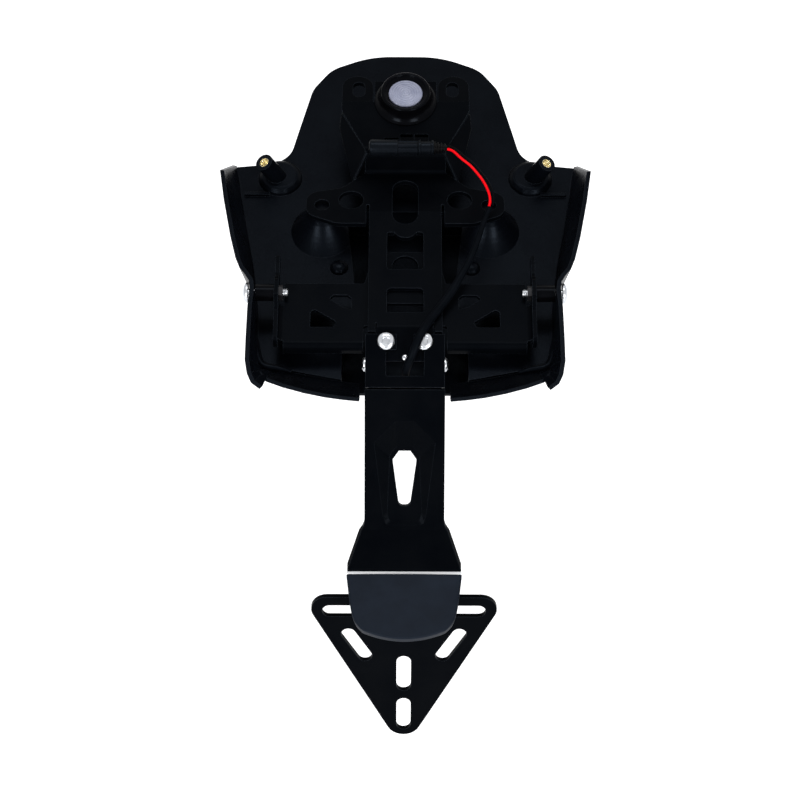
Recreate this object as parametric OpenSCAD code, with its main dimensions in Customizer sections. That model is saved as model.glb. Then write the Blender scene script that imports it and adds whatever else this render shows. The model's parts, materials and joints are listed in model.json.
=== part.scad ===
// Tail tidy: folded brackets, moulded undertray, plate arm, number plate bracket and lamp lead.
// Frame: X to the right, Y towards the front of the motorbike, Z up.
// Origin: midway between the two ear holes, on the top face of the T-plate.

/* [Main bracket] */
// Thickness of the main bracket's sheet
main_t = 3; // [2:0.5:4]
// Inner radius of its bends
main_bend_r = 2.5; // [1.5:0.5:4]
// Distance between the two ear holes
ear_spacing = 100; // [92:1:108]
// Diameter of the ear holes
ear_hole_d = 9; // [7:0.5:10]
// Corner radius of the ears
ear_r = 9.5; // [8:0.5:12]
// Half width of the spine
spine_half_w = 21.6; // [20:0.2:23]
// Downward slope of the spine and the cross bracket
spine_slope = 9; // [6:0.5:11]
// Height of the raised panel's rear edge over the T-plate
panel_step = 16; // [13:0.5:20]
// Slope of the raised panel
panel_slope = 9; // [5:0.5:12]
// Spacing of the slotted front ears
front_ear_spacing = 59; // [56:0.2:64]
// Width of a front ear
front_ear_w = 19; // [17:0.2:21]
// Width of the slot in a front ear
front_slot_w = 7.4; // [6:0.2:9]
// Diameter of the lightening holes
lightening_d = 15; // [10:0.5:16]
// Width of the long slot over the first bend
long_slot_w = 15.6; // [10:0.2:18]
// Width of the spine's two windows
window_w = 21.6; // [16:0.2:24]

/* [Cross bracket] */
// Thickness of the cross bracket's sheet
cross_t = 2.5; // [2:0.5:3]
// Half width between the outer faces of its upturned flanges
cross_half_w = 76.3; // [74:0.1:78]
// Inner radius of the flange bends
cross_bend_r = 3.2; // [2:0.2:4]
// Depth of the rear fold
rear_fold_h = 7; // [4:0.5:10]

/* [Undertray] */
// Wall thickness of the moulding
tray_t = 2.5; // [2:0.25:3.5]
// Upward tilt of the tray towards the front
tray_tilt = 8; // [6:0.5:9]
// Height of the floor below the T-plate's top face, under the ear holes
tray_drop = 19.5; // [17:0.5:24]
// Height of the side walls
side_wall_h = 28; // [24:0.5:32]
// Height of the rear lip
rear_lip_h = 12; // [8:0.5:14]
// Depth of the central channel
channel_depth = 26; // [20:1:34]
// Foot radius of the cone bosses
cone_foot_r = 22.5; // [18:0.5:24]
// Top radius of the cone bosses
cone_top_r = 8.6; // [7:0.2:9.4]
// Outer diameter of the tube bosses
tube_d = 11; // [9:0.5:13]
// Length of a tube boss
tube_l = 21.5; // [16:0.5:23]

/* [Inserts] */
// Outer diameter of a brass insert
insert_d = 7.6; // [6:0.2:8.4]
// Length of a brass insert
insert_l = 10; // [6:0.5:14]
// Bore of a brass insert
insert_bore_d = 5; // [4:0.5:5]

/* [Rear lamp] */
// Foot radius of the round bezel
bezel_foot_r = 19; // [17:0.5:19.5]
// Radius of the bezel's top ring
bezel_top_r = 15; // [13:0.5:16]
// Height of the bezel
bezel_h = 10; // [8:0.5:13]
// Radius of the pale disc
lens_r = 10.4; // [8:0.2:11]

/* [Connector and lead] */
// Diameter of the connector's socket
socket_d = 10.2; // [8:0.2:12]
// Diameter of the connector's plug
plug_d = 9.6; // [7:0.2:10]
// Diameter of a thin wire
wire_d = 1.6; // [1.2:0.1:2]
// Diameter of the sleeve at its upper end
sleeve_top_d = 2.8; // [2.4:0.1:3.2]
// Diameter of the sleeve over the rest of the lead
sleeve_d = 4.8; // [3.6:0.1:5]

/* [Stem bracket] */
// Sheet thickness of the stem bracket
stem_t = 2; // [1.5:0.25:2.5]
// Half width over its side walls
stem_half_w = 22.9; // [22:0.1:24]
// Slope of its face
stem_slope = 35; // [30:1:38]
// Length of its face
stem_l = 31.2; // [29:0.2:34]
// Depth of its side walls
stem_depth = 18; // [16:0.5:22]

/* [Arm] */
// Sheet thickness of the arm
arm_t = 2.5; // [2:0.25:3]
// Slope of the arm
arm_slope = 62; // [58:1:66]
// Length of the arm's straight part
arm_l = 89; // [80:1:100]
// Half width of the arm
arm_half_w = 23.6; // [22:0.2:26]
// Slope of the flare
flare_slope = 25; // [18:1:32]
// Length of the flare
flare_l = 25; // [20:1:30]
// Half width at the flare's rear edge
flare_half_w = 34; // [30:0.5:37]
// Depth of the dished emboss
dish_depth = 5; // [3:0.5:6]
// Slope of the number plate bracket
plate_slope = 76; // [70:1:82]
// Length of the hidden mounting flange
flange_l = 36; // [34:1:40]

/* [Hood and plate lamp] */
// Thickness of the hood's skin
hood_t = 3; // [2:0.5:3.5]
// Slope of the hood
hood_slope = 12; // [8:1:16]
// Length of the hood
hood_l = 39.5; // [34:0.5:44]
// Height of the light strip
strip_h = 5; // [3:0.5:6]

/* [Number plate bracket] */
// Sheet thickness of the plate bracket
plate_t = 3; // [2:0.5:3.5]
// Width over the two rounded upper corners
plate_w = 108.4; // [100:0.2:116]
// Height from its top edge to its tip
plate_h = 116.6; // [112:0.2:120]
// Width of the slots
slot_w = 8.8; // [6:0.2:9]

/* [Fixings] */
// Diameter of the larger screws
bolt_d = 6; // [5:0.5:6]
// Diameter of the smaller screws
screw_d = 5; // [4:0.5:5]
// Radial clearance of a screw in its hole
hole_gap = 0.25; // [0.2:0.05:0.5]
// Diameter of a button head
button_d = 10.5; // [9.5:0.1:11]
// Diameter of a dome head on the side walls
dome_d = 12; // [10:0.5:13]
// Diameter of a side spacer
spacer_d = 9.8; // [8:0.2:10.4]

/* [Hidden] */
$fn = 48;
eps = 0.01;
far = 400;

// Places of the main bracket's fold lines, as Y and Z of the upper face
wall_y = 28.5;
panel_l = 39.4;
first_bend_y = -5;
spine_end_y = -91.2;
front_ear_l = 23;

// Unit vectors in the YZ plane of a face that slopes down towards the rear by angle a
function up(a) = [-sin(a), cos(a)];
function rearward(a) = [-cos(a), -sin(a)];

// Fold chain: each fold point follows from the one before
t_corner = [wall_y, 0];
panel_corner = [wall_y, panel_step];
ear_fold = panel_corner - panel_l * rearward(panel_slope);
front_end = ear_fold - front_ear_l * rearward(0);
first_bend = [first_bend_y, 0];
spine_run = (first_bend_y - spine_end_y) / cos(spine_slope);
spine_end = first_bend + spine_run * rearward(spine_slope);
tab_back = stem_t / sin(stem_slope - spine_slope);
tab_fold = first_bend + (spine_run - tab_back) * rearward(spine_slope);
tab_end = tab_fold + 20 * rearward(stem_slope);
stem_end = spine_end + stem_l * rearward(stem_slope);
arm_gap = 1.4;
arm_start = stem_end + arm_gap * rearward(arm_slope);
arm_end = arm_start + arm_l * rearward(arm_slope);
flare_end = arm_end + flare_l * rearward(flare_slope);
flange_end = flare_end + flange_l * rearward(plate_slope);
strip_t = 3;
hood_start = flare_end + strip_t * up(plate_slope);

// Side fixing and pivot axes
side_axis = [-64.5, -8.2];
pivot_s = 17;
pivot_z = -9.5;
stem_bolt_x = 11;
stem_bolt_s = 4.6;
plate_bolt_x = 12.5;
plate_bolt_s = 27;

// Puts its children in the frame of a sloping face: X across, Y up the slope, Z outwards
module on_face(p, slope) {
    translate([0, p[0], p[1]]) rotate([slope, 0, 0]) children();
}

// Arc points from angle a to angle b
function arc(c, r, a, b, n) = [for (i = [0:n]) c + r * [cos(a + (b - a) * i / n), sin(a + (b - a) * i / n)]];

// Polygon with each corner [x, y, radius] rounded by n steps
function unit(v) = v / norm(v);
function corner(p, q, s, n) =
    let(
        b = [q[0], q[1]],
        u = unit([p[0], p[1]] - b),
        v = unit([s[0], s[1]] - b),
        half = acos(max(-1, min(1, u * v))) / 2,
        l = q[2] / tan(half),
        c = b + unit(u + v) * (q[2] / sin(half)),
        f = b + u * l - c,
        g = b + v * l - c,
        a0 = atan2(f[1], f[0]),
        turn = atan2(f[0] * g[1] - f[1] * g[0], f * g)
    )
    q[2] <= 0 ? [b] : arc(c, q[2], a0, a0 + turn, n);
function rounded(pts, n = 6) = [
    for (i = [0:len(pts) - 1])
        each corner(pts[(i + len(pts) - 1) % len(pts)], pts[i], pts[(i + 1) % len(pts)], n)
];

// Right half of an outline repeated on the left
function both_sides(pts) = concat(pts, [for (i = [len(pts) - 1:-1:0]) [-pts[i][0], pts[i][1], pts[i][2]]]);

// Section of a folded sheet: upper face through the points p, slopes s of its flats
function fold_side(p, s, i, r, t, top, n) =
    let(
        a1 = s[i - 1],
        a2 = s[i],
        convex = a2 > a1,
        l = (convex ? r + t : r) * tan(abs(a2 - a1) / 2),
        c = p[i] - l * rearward(a1) - (convex ? r + t : -r) * up(a1),
        rr = convex ? (top ? r + t : r) : (top ? -r : -(r + t))
    )
    [for (k = [0:n]) c + rr * up(a1 + (a2 - a1) * k / n)];
function fold_section(p, s, r, t, n = 6) =
    let(last = len(p) - 1)
    concat(
        [p[0]],
        [for (i = [1:1:last - 1]) each fold_side(p, s, i, r, t, true, n)],
        [p[last], p[last] - t * up(s[last - 1])],
        [for (i = [last - 1:-1:1]) let(b = fold_side(p, s, i, r, t, false, n)) each [for (k = [n:-1:0]) b[k]]],
        [p[0] - t * up(s[0])]
    );
module folded(p, s, r, t, half_w) {
    rotate([90, 0, 90])
        translate([0, 0, -half_w])
            linear_extrude(2 * half_w) polygon(fold_section(p, s, r, t));
}

// Fixings stand on Z: head above zero, shank below
module button_screw(d, l, head_d, head_h, socket) {
    difference() {
        union() {
            rotate_extrude()
                polygon(concat([[0, 0], [head_d / 2, 0], [head_d / 2, head_h * 0.25]],
                    [for (a = [15:15:75]) [head_d / 2 * cos(a), head_h * (0.25 + 0.75 * sin(a))]],
                    [[0, head_h]]));
            translate([0, 0, -l]) cylinder(d = d, h = l + eps);
        }
        translate([0, 0, head_h * 0.35]) cylinder(d = socket / cos(30), h = head_h, $fn = 6);
    }
}
module hex_nut(d, flats, h) {
    difference() {
        cylinder(d = flats / cos(30), h = h, $fn = 6);
        translate([0, 0, -eps]) cylinder(d = d + 0.2, h = h + 2 * eps);
    }
}

// The tray's side walls stand a spacer's length outside the cross bracket's flanges
spacer_l = 10.9;
wall_grip = 4.4;
bolt_reach = 7.9;
wall_inner_x = cross_half_w + spacer_l;
wall_outer_x = wall_inner_x + wall_grip;
side_bolt_end_x = cross_half_w - bolt_reach;
// The tray's outlines are drawn for this half width at the fixings, and spread when it changes
drawn_half_w = 87.2;
wall_spread = wall_inner_x - drawn_half_w;
function spread(x) = x + lookup(x, [[26, 0], [83, wall_spread]]);

// Undertray
// Half outline of the floor in the tray's own frame: X, Y forwards, corner radius
floor_half = [
    [22, 136.5, 60], [47, 125.5, 22], [58.6, 109, 22], [66.4, 76, 60], [71.6, 53.4, 16], [84, 48.6, 10],
    [104.5, 46.3, 0.5],
    [91, -29, 30], [87.8, -52, 60], [86, -98, 6], [77, -101, 40], [37, -109.5, 0]
];
// Half outline of the central channel
channel_half = [[36, 12, 2], [29.8, -44, 8], [31, -62, 8], [37, -78, 8], [37, -104, 0]];
// Stations of the side wall: X and Y at the floor, X and Y at the rim, share of the wall's height
side_wall = [
    [104.5, 46, 106.6, 46, 0.09], [100, 22, 111.6, 22, 1], [96, 0, 108.3, 0, 1],
    [91.4, -27, 103.2, -27, 1], [89.2, -42, 99.4, -43, 1], [88.5, -48, 96.8, -50, 1],
    [88, -53, 93.2, -55, 1], [87.6, -58, 90.9, -59, 1], [87.4, -63, 90.2, -64, 1],
    [86.8, -77, 91, -77, 1], [86.2, -92, 91.1, -98, 1], [85, -98, 91, -114, 1],
    [83, -100.2, 89.4, -123.4, 1], [81, -100.8, 86.8, -129.6, 1], [78.6, -101, 81.8, -133.8, 1]
];
// Stations of the rear lip
rear_lip = [
    [83.2, -100, 84.8, -113.6, 1], [79.4, -100.9, 79.6, -118.6, 1], [70, -102.5, 69.8, -122.6, 1],
    [58, -105, 57.6, -126.4, 1], [46, -107.5, 45.6, -129.2, 1], [36, -109.5, 35.4, -130.8, 1],
    [26.6, -111, 26, -131.8, 1]
];

module tray_frame() {
    translate([0, 0, -tray_drop]) rotate([tray_tilt, 0, 0]) children();
}

// Wall between stations, thickened outwards across the line of the rim
module wall_loft(st, h) {
    n = len(st);
    out = [for (i = [0:n - 1])
        let(a = st[max(0, i - 1)], b = st[min(n - 1, i + 1)], d = unit([b[2] - a[2], b[3] - a[3]]))
        [-d[1], d[0]]];
    pts = [for (i = [0:n - 1]) let(s = st[i], o = out[i] * tray_t, z = s[4] * h, a = spread(s[0]), b = spread(s[2])) each [
        [a - o[0] * 0.2, s[1] - o[1] * 0.2, -tray_t],
        [a + o[0], s[1] + o[1], -tray_t],
        [b, s[3], z],
        [b - o[0], s[3] - o[1], z]
    ]];
    sides = [for (i = [0:n - 2]) each [for (k = [0:3])
        let(a = 4 * i + k, b = 4 * i + (k + 1) % 4) each [[a, a + 4, b + 4], [a, b + 4, b]]]];
    caps = [[0, 1, 2], [0, 2, 3], [4 * n - 4, 4 * n - 2, 4 * n - 3], [4 * n - 4, 4 * n - 1, 4 * n - 2]];
    polyhedron(points = pts, faces = concat(sides, caps), convexity = 6);
}
module cone_boss(grow, top) {
    // A boss whose side is slightly hollow, like a trumpet
    foot = -tray_drop - 5;
    rise = top - foot;
    rotate_extrude()
        polygon(concat(
            [[0, foot]],
            [for (k = [0:8]) let(u = k / 8)
                [cone_top_r + grow + (cone_foot_r * 1.08 - cone_top_r) * pow(1 - u, 1.55), foot + rise * u]],
            [[0, top]]
        ));
}
tube_foot = [77, 36.5, -15];
tube_dir = unit([9.6, -4.3, 20]);
tube_end = tube_foot + tube_l * tube_dir;
module along(p, d) {
    translate(p)
        rotate([0, 0, atan2(d[1], d[0])])
            rotate([0, acos(d[2] / norm(d)), 0]) children();
}
module tube_body() {
    along(tube_foot - 6 * tube_dir, tube_dir) cylinder(d = tube_d, h = tube_l + 6);
}
module tube_bore() {
    along(tube_foot, tube_dir)
        translate([0, 0, tube_l - insert_l]) cylinder(d = insert_d, h = insert_l + 1);
}
module tray_half_solid() {
    tray_frame() {
        wall_loft(side_wall, side_wall_h);
        wall_loft(rear_lip, rear_lip_h);
        // Foot ring of the tube boss
        translate([77, 37.5, -eps])
            rotate_extrude()
                polygon([[0, 0], [13.6, 0], [12.8, 1.6], [11, 3.4], [9.4, 4], [0, 4]]);
        // Low rib between the ring and the side wall
        translate([83 + wall_spread, 23.6, -eps]) cube([15.5, 2, 2.2]);
        // Round pip beside the channel
        translate([39.6, -30, -eps])
            rotate_extrude()
                polygon([[0, 0], [5.6, 0], [4.8, 1.4], [3.6, 2.5], [2, 3.2], [0, 3.5]]);
    }
    tube_body();
    translate([ear_spacing / 2, 0, 0]) cone_boss(0, -main_t);
}
module undertray() {
    color([0.07, 0.09, 0.11])
        difference() {
            union() {
                difference() {
                    union() {
                        difference() {
                            union() {
                                tray_frame()
                                    translate([0, 0, -tray_t])
                                        linear_extrude(tray_t)
                                            polygon(rounded(both_sides([
                                                for (p = floor_half) [spread(p[0]), p[1], p[2]]
                                            ]), 8));
                                for (m = [0, 1]) mirror([m, 0, 0]) tray_half_solid();
                            }
                            for (m = [0, 1]) mirror([m, 0, 0])
                                translate([ear_spacing / 2, 0, 0]) cone_boss(-tray_t, -main_t - tray_t);
                        }
                        // Walls and floor of the central channel
                        tray_frame()
                            translate([0, 0, -channel_depth])
                                linear_extrude(channel_depth - eps)
                                    polygon(rounded(both_sides([
                                        for (p = channel_half) [p[0] + tray_t, p[1] > 0 ? p[1] + tray_t : p[1], p[2]]
                                    ])));
                    }
                    tray_frame()
                        translate([0, 0, tray_t - channel_depth])
                            linear_extrude(channel_depth + 40)
                                polygon(rounded(both_sides([
                                    for (p = channel_half) [p[0], p[1] < -100 ? p[1] - 8 : p[1], p[2]]
                                ])));
                }
                // The rear lip's inner ends reach over the channel's mouth
                tray_frame()
                    for (m = [0, 1]) mirror([m, 0, 0]) wall_loft(rear_lip, rear_lip_h);
            }
            for (m = [0, 1]) mirror([m, 0, 0]) {
                tube_bore();
                translate([cross_half_w + 3.7, side_axis[0], side_axis[1]])
                    rotate([0, 90, 0]) cylinder(d = screw_d + 2 * hole_gap, h = 30);
            }
        }
}
module insert(side) {
    color([0.79, 0.63, 0.32])
        mirror([side < 0 ? 1 : 0, 0, 0])
            along(tube_foot, tube_dir)
                translate([0, 0, tube_l - insert_l])
                    difference() {
                        cylinder(d = insert_d, h = insert_l);
                        translate([0, 0, -eps]) cylinder(d = insert_bore_d, h = insert_l + 2 * eps);
                    }
}

// Main bracket
neck_half_w = 24.4;
notch_x = spine_half_w + 1.8;
panel_half_w = 39.2;
// Half plan of the T-plate from its neck to the spine
t_half = [
    [neck_half_w, wall_y + main_t, 0], [neck_half_w, 27.5, 3], [31, 21.5, 12], [38, 14.5, 12],
    [ear_spacing / 2 + ear_r, 10.2, ear_r - 1], [ear_spacing / 2 + ear_r, -7.5, 8],
    [ear_spacing / 2 - 9, -15.4, 12], [notch_x, -15.4, 0.6], [notch_x, 0.4, 0.6], [spine_half_w - 2, 0.4, 0]
];
front_ear_x = front_ear_spacing / 2;
// Half plan of the raised panel
panel_half = [
    [front_ear_x - front_ear_w / 2 - 1, ear_fold[0] + 16, 0],
    [front_ear_x - front_ear_w / 2 - 1, ear_fold[0] + eps, 0],
    [panel_half_w, ear_fold[0] + eps, 0], [38.6, 59.4, 4], [neck_half_w, 31, 4], [neck_half_w, wall_y, 0]
];
module plan(points, n = 6) {
    translate([0, 0, -far / 2]) linear_extrude(far) polygon(rounded(points, n));
}
// Outline of a slot of width w whose end arcs are centred on a and b
function slot_outline(a, b, w, n = 12) =
    let(t = atan2(b[1] - a[1], b[0] - a[0]))
    concat(arc(b, w / 2, t - 90, t + 90, n), arc(a, w / 2, t + 90, t + 270, n));
module stadium(w, l) {
    // Slot of overall length l along Y, centred
    polygon(slot_outline([0, -(l - w) / 2], [0, (l - w) / 2], w));
}
module gusset() {
    // Flared side face of the raised panel, down to the T-plate
    hull() {
        translate([38.4, 58.6, ear_fold[1] - 3.6]) sphere(r = 1.2, $fn = 8);
        translate([neck_half_w - 1, 30.5, panel_step - 1.8]) sphere(r = 1.2, $fn = 8);
        translate([31.4, 22.5, -1.4]) sphere(r = 1.2, $fn = 8);
        translate([39.2, 52.5, ear_fold[1] - 9]) sphere(r = 1.2, $fn = 8);
    }
}
window1_s = [15.5, 42.4];
window2_s = [55.6, 72.6];
module main_bracket() {
    color([0.1, 0.1, 0.12])
        difference() {
            union() {
                // Panel, wall and T-plate
                intersection() {
                    folded([panel_corner - (panel_l + 16) * rearward(panel_slope), panel_corner, t_corner,
                        [-30, 0]], [panel_slope, 90, 0], main_bend_r, main_t, 64);
                    union() {
                        plan(both_sides(t_half));
                        plan(both_sides(panel_half));
                    }
                }
                // Slotted front ears
                for (m = [0, 1]) mirror([m, 0, 0])
                    intersection() {
                        folded([front_end, ear_fold, ear_fold + 8 * rearward(panel_slope)],
                            [0, panel_slope], main_bend_r, main_t, 64);
                        plan([
                            [front_ear_x - front_ear_w / 2, ear_fold[0] - 7, 0],
                            [front_ear_x + front_ear_w / 2, ear_fold[0] - 7, 0],
                            [front_ear_x + front_ear_w / 2, front_end[0], front_ear_w / 2 - eps],
                            [front_ear_x - front_ear_w / 2, front_end[0], front_ear_w / 2 - eps]
                        ], 10);
                    }
                // Spine, open at its rear edge for the tail tab
                intersection() {
                    folded([[wall_y - 6, 0], first_bend, spine_end], [0, spine_slope], main_bend_r, main_t, spine_half_w);
                    plan(both_sides([
                        [spine_half_w + 2, wall_y - 7, 0], [spine_half_w + 2, spine_end_y + 1.5, 0],
                        [tab_half_w + 0.8, spine_end_y + 1.5, 0], [tab_half_w + 0.8, tab_fold[0] + 3, 0.4]
                    ]));
                }
                folded([tab_fold - 8 * rearward(spine_slope), tab_fold, tab_end],
                    [spine_slope, stem_slope], main_bend_r, main_t, tab_half_w);
                for (m = [0, 1]) mirror([m, 0, 0]) gusset();
            }
            // Ear holes and lightening holes
            for (s = [-1, 1]) {
                translate([s * ear_spacing / 2, 0, -main_t - 1]) cylinder(d = ear_hole_d, h = main_t + 2);
                translate([s * 32.6, 4.2, -main_t - 1]) cylinder(d = lightening_d, h = main_t + 2);
            }
            // Long slot over the first bend
            translate([0, 3.2, -8]) linear_extrude(12) stadium(long_slot_w, 35.4);
            // Windows of the spine
            on_face(first_bend, spine_slope) {
                translate([0, 0, -8])
                    linear_extrude(16)
                        difference() {
                            polygon(rounded([
                                [-window_w / 2, -window1_s[1], 2], [window_w / 2, -window1_s[1], 2],
                                [window_w / 2, -window1_s[0], 1.5], [-window_w / 2, -window1_s[0], 1.5]
                            ]));
                            translate([0, -window1_s[0] + 3.6]) circle(r = 7.6);
                        }
                translate([0, 0, -8])
                    linear_extrude(16)
                        polygon(rounded([
                            [-window_w / 2, -window2_s[1], 0.8], [window_w / 2, -window2_s[1], 0.8],
                            [window_w / 2, -window2_s[0], 2.6], [-window_w / 2, -window2_s[0], 2.6]
                        ]));
            }
            // Holes of the tail tab
            on_face(spine_end, stem_slope) {
                for (s = [-1, 1])
                    translate([s * stem_bolt_x, -stem_bolt_s, -12]) cylinder(d = bolt_d + 2 * hole_gap, h = 16);
                translate([0, -centre_screw_s, -12]) cylinder(d = centre_screw_d + 2 * hole_gap, h = 16);
            }
            // Slots of the front ears
            for (s = [-1, 1])
                translate([s * (front_ear_x - 0.8), ear_fold[0] + 11, ear_fold[1] - 6])
                    linear_extrude(12) stadium(front_slot_w, 13.4);
            // Three cut-outs behind the connector
            on_face(panel_corner, panel_slope) {
                translate([-3.3, 7.3, -8]) cube([7.7, 6.9, 12]);
                translate([5.6, 7.3, -8]) cube([8.2, 6.9, 12]);
                translate([-12.8, 10.2, -8]) cube([8.9, 1.2, 12]);
            }
            // Opening under the round lamp
            on_face(ear_fold, panel_slope) translate([0, 0, -8]) cylinder(r = lens_r + 0.6, h = 12);
        }
}
tab_half_w = 16.4;
centre_screw_s = 13.8;
centre_screw_d = 2.5;

// Cross bracket
cross_origin = first_bend - (main_t + eps) * up(spine_slope);
wing_front_s = 50.6;
wing_rear_s = 90.2;
wing_flat_half = cross_half_w - cross_t - cross_bend_r;
module wing_cutouts() {
    polygon(rounded([
        [-44.2, -61.4, 0.8], [-42, -58.6, 0.8], [-33.6, -58.6, 1], [-31.4, -60.8, 1],
        [-31.4, -69, 0.6], [-37.4, -66.6, 2]
    ]));
    polygon(rounded([
        [-55.2, -67, 2.4], [-39.6, -77.6, 1.6], [-41.6, -81, 1.6], [-55.2, -81, 0.8]
    ]));
}
module flange_side() {
    // Side view of an upturned flange: X rearwards along the slope, Y away from the sheet
    polygon(rounded([
        [33, -cross_t, 1], [33, 5, 2.4], [40, 5, 2.4], [48, 3.4, 6], [53.4, 9.6, 3.6], [65.6, 9.6, 3.6],
        [70, 3.6, 3.6], [91.8, 3.6, 2.4], [91.8, -cross_t - 3, 1], [60, -cross_t, 0.4]
    ]));
}
module cross_bracket() {
    color([0.07, 0.08, 0.1])
        difference() {
            union() {
                on_face(cross_origin, spine_slope) {
                    translate([0, 0, -cross_t])
                        linear_extrude(cross_t)
                            difference() {
                                polygon(rounded([
                                    [wing_flat_half, -wing_front_s, 0.6], [spine_half_w + 2.2, -wing_front_s, 1],
                                    [spine_half_w - 3, -28, 3], [-spine_half_w + 3, -28, 3],
                                    [-spine_half_w - 2.2, -wing_front_s, 1], [-wing_flat_half, -wing_front_s, 0.6],
                                    [-wing_flat_half, -wing_rear_s, 0], [-stem_half_w - 1.4, -wing_rear_s, 0],
                                    [-stem_half_w - 1.4, -80, 1.5], [stem_half_w + 1.4, -80, 1.5],
                                    [stem_half_w + 1.4, -wing_rear_s, 0], [wing_flat_half, -wing_rear_s, 0]
                                ]));
                                wing_cutouts();
                                mirror([1, 0]) wing_cutouts();
                                // Arched notch behind the spine's first window
                                translate([0, -38.6]) circle(r = 7.8);
                                translate([-7.8, -44]) square([15.6, 5.4]);
                                translate([-window_w / 2, -76]) square([window_w, 11.6]);
                            }
                    for (s = [-1, 1]) {
                        // Rear fold
                        translate([s * (wing_flat_half + stem_half_w + 1.4) / 2, -wing_rear_s, 0])
                            rotate([90, 0, 90])
                                linear_extrude(wing_flat_half - stem_half_w - 1.4, center = true)
                                    polygon(fold_section([[eps, 0], [-2 - cross_t, 0], [-2 - cross_t, -rear_fold_h]],
                                        [0, 90], 1.5, cross_t));
                        // Flange bend, behind the fixing
                        translate([s * wing_flat_half, 0, 0])
                            rotate([90, 0, 0])
                                translate([0, cross_bend_r, 66])
                                    linear_extrude(wing_rear_s - 66)
                                        intersection() {
                                            difference() {
                                                circle(r = cross_bend_r + cross_t);
                                                circle(r = cross_bend_r);
                                            }
                                            scale([s, 1])
                                                translate([-eps, -cross_bend_r - cross_t])
                                                    square([cross_bend_r + cross_t + eps, cross_bend_r + cross_t + eps]);
                                        }
                    }
                    for (s = [-1, 1])
                        translate([s * (cross_half_w - cross_t / 2), 0, 0])
                            rotate([0, 0, -90])
                                rotate([90, 0, 0])
                                    linear_extrude(cross_t, center = true) flange_side();
                }
            }
            for (s = [-1, 1])
                translate([s * cross_half_w, side_axis[0], side_axis[1]])
                    rotate([0, 90, 0])
                        cylinder(d = screw_d + 2 * hole_gap, h = 12, center = true);
        }
}

// Round lamp
module lens_bezel() {
    color([0.04, 0.04, 0.05])
        on_face(ear_fold, panel_slope)
            rotate_extrude($fn = 72)
                polygon([
                    [lens_r, eps], [bezel_foot_r, eps], [bezel_foot_r, 1], [bezel_foot_r - 1.1, 1.8],
                    [bezel_foot_r - 2.4, 3.2], [bezel_foot_r - 3.2, 5], [bezel_top_r + 0.2, bezel_h - 2.4],
                    [bezel_top_r, bezel_h - 0.8], [bezel_top_r - 0.8, bezel_h], [bezel_top_r - 2.2, bezel_h + 0.2],
                    [lens_r + 1.4, bezel_h - 0.4], [lens_r, bezel_h - 1.6]
                ]);
}
module lens() {
    color([0.66, 0.67, 0.72])
        on_face(ear_fold, panel_slope)
            rotate_extrude($fn = 72)
                polygon([
                    [0, -2], [lens_r, -2], [lens_r, bezel_h - 2], [lens_r - 0.8, bezel_h - 1.4],
                    [lens_r * 0.5, bezel_h - 1], [0, bezel_h - 0.9]
                ]);
}

// Connector, its axis across the raised panel's rear edge
// It leans against the rounded edge of the panel
lean = 33;
edge_r = main_bend_r + main_t;
edge_centre = panel_corner - edge_r * tan((90 - panel_slope) / 2) * rearward(panel_slope) - edge_r * up(panel_slope);
connector_axis = edge_centre + (edge_r + socket_d / 2) * up(lean);
module across(x) {
    translate([x, connector_axis[0], connector_axis[1]]) rotate([0, 90, 0]) children();
}
socket_x = -22;
latch_x = -4.6;
plug_x = 7.6;
seal_x = 17;
seal_l = 8.2;
module connector_socket() {
    color([0.05, 0.05, 0.06]) {
        difference() {
            union() {
                across(socket_x)
                    rotate_extrude()
                        polygon([
                            [0, 0], [socket_d / 2 - 1.2, 0], [socket_d / 2 - 0.3, 0.6], [socket_d / 2, 2],
                            [socket_d / 2, latch_x - socket_x], [0, latch_x - socket_x]
                        ]);
                across(latch_x - eps) cylinder(d = plug_d - 1.6, h = plug_x - latch_x + eps);
                for (a = [0:60:300])
                    across(latch_x - eps)
                        rotate([0, 0, a])
                            translate([plug_d / 2 - 1.4, -1.3, 0]) cube([1.3, 2.6, plug_x - latch_x - 2.2]);
            }
            across(socket_x + 5) translate([-socket_d, -0.6, 0]) cube([socket_d - 4.4, 1.2, 9]);
        }
    }
}
module connector_plug() {
    color([0.05, 0.05, 0.06])
        across(plug_x)
            rotate_extrude()
                polygon([
                    [0, 0], [socket_d / 2, 0], [socket_d / 2, 1.6], [plug_d / 2 - 0.6, 1.8],
                    [plug_d / 2 - 0.6, seal_x - plug_x - 2], [plug_d / 2, seal_x - plug_x - 1.6],
                    [plug_d / 2, seal_x - plug_x], [0, seal_x - plug_x]
                ]);
}
module connector_seal() {
    color([0.06, 0.06, 0.06])
        across(seal_x)
            rotate_extrude()
                polygon(concat(
                    [[0, 0]],
                    [for (k = [0:3]) each [
                        [plug_d / 2 - 0.9 - 0.35 * k, 2 * k], [plug_d / 2 - 0.9 - 0.35 * k, 2 * k + 1],
                        [plug_d / 2 - 2.1 - 0.3 * k, 2 * k + 1.2], [plug_d / 2 - 2.1 - 0.3 * k, 2 * k + 1.9]
                    ]],
                    [[0, seal_l]]
                ));
}

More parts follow.
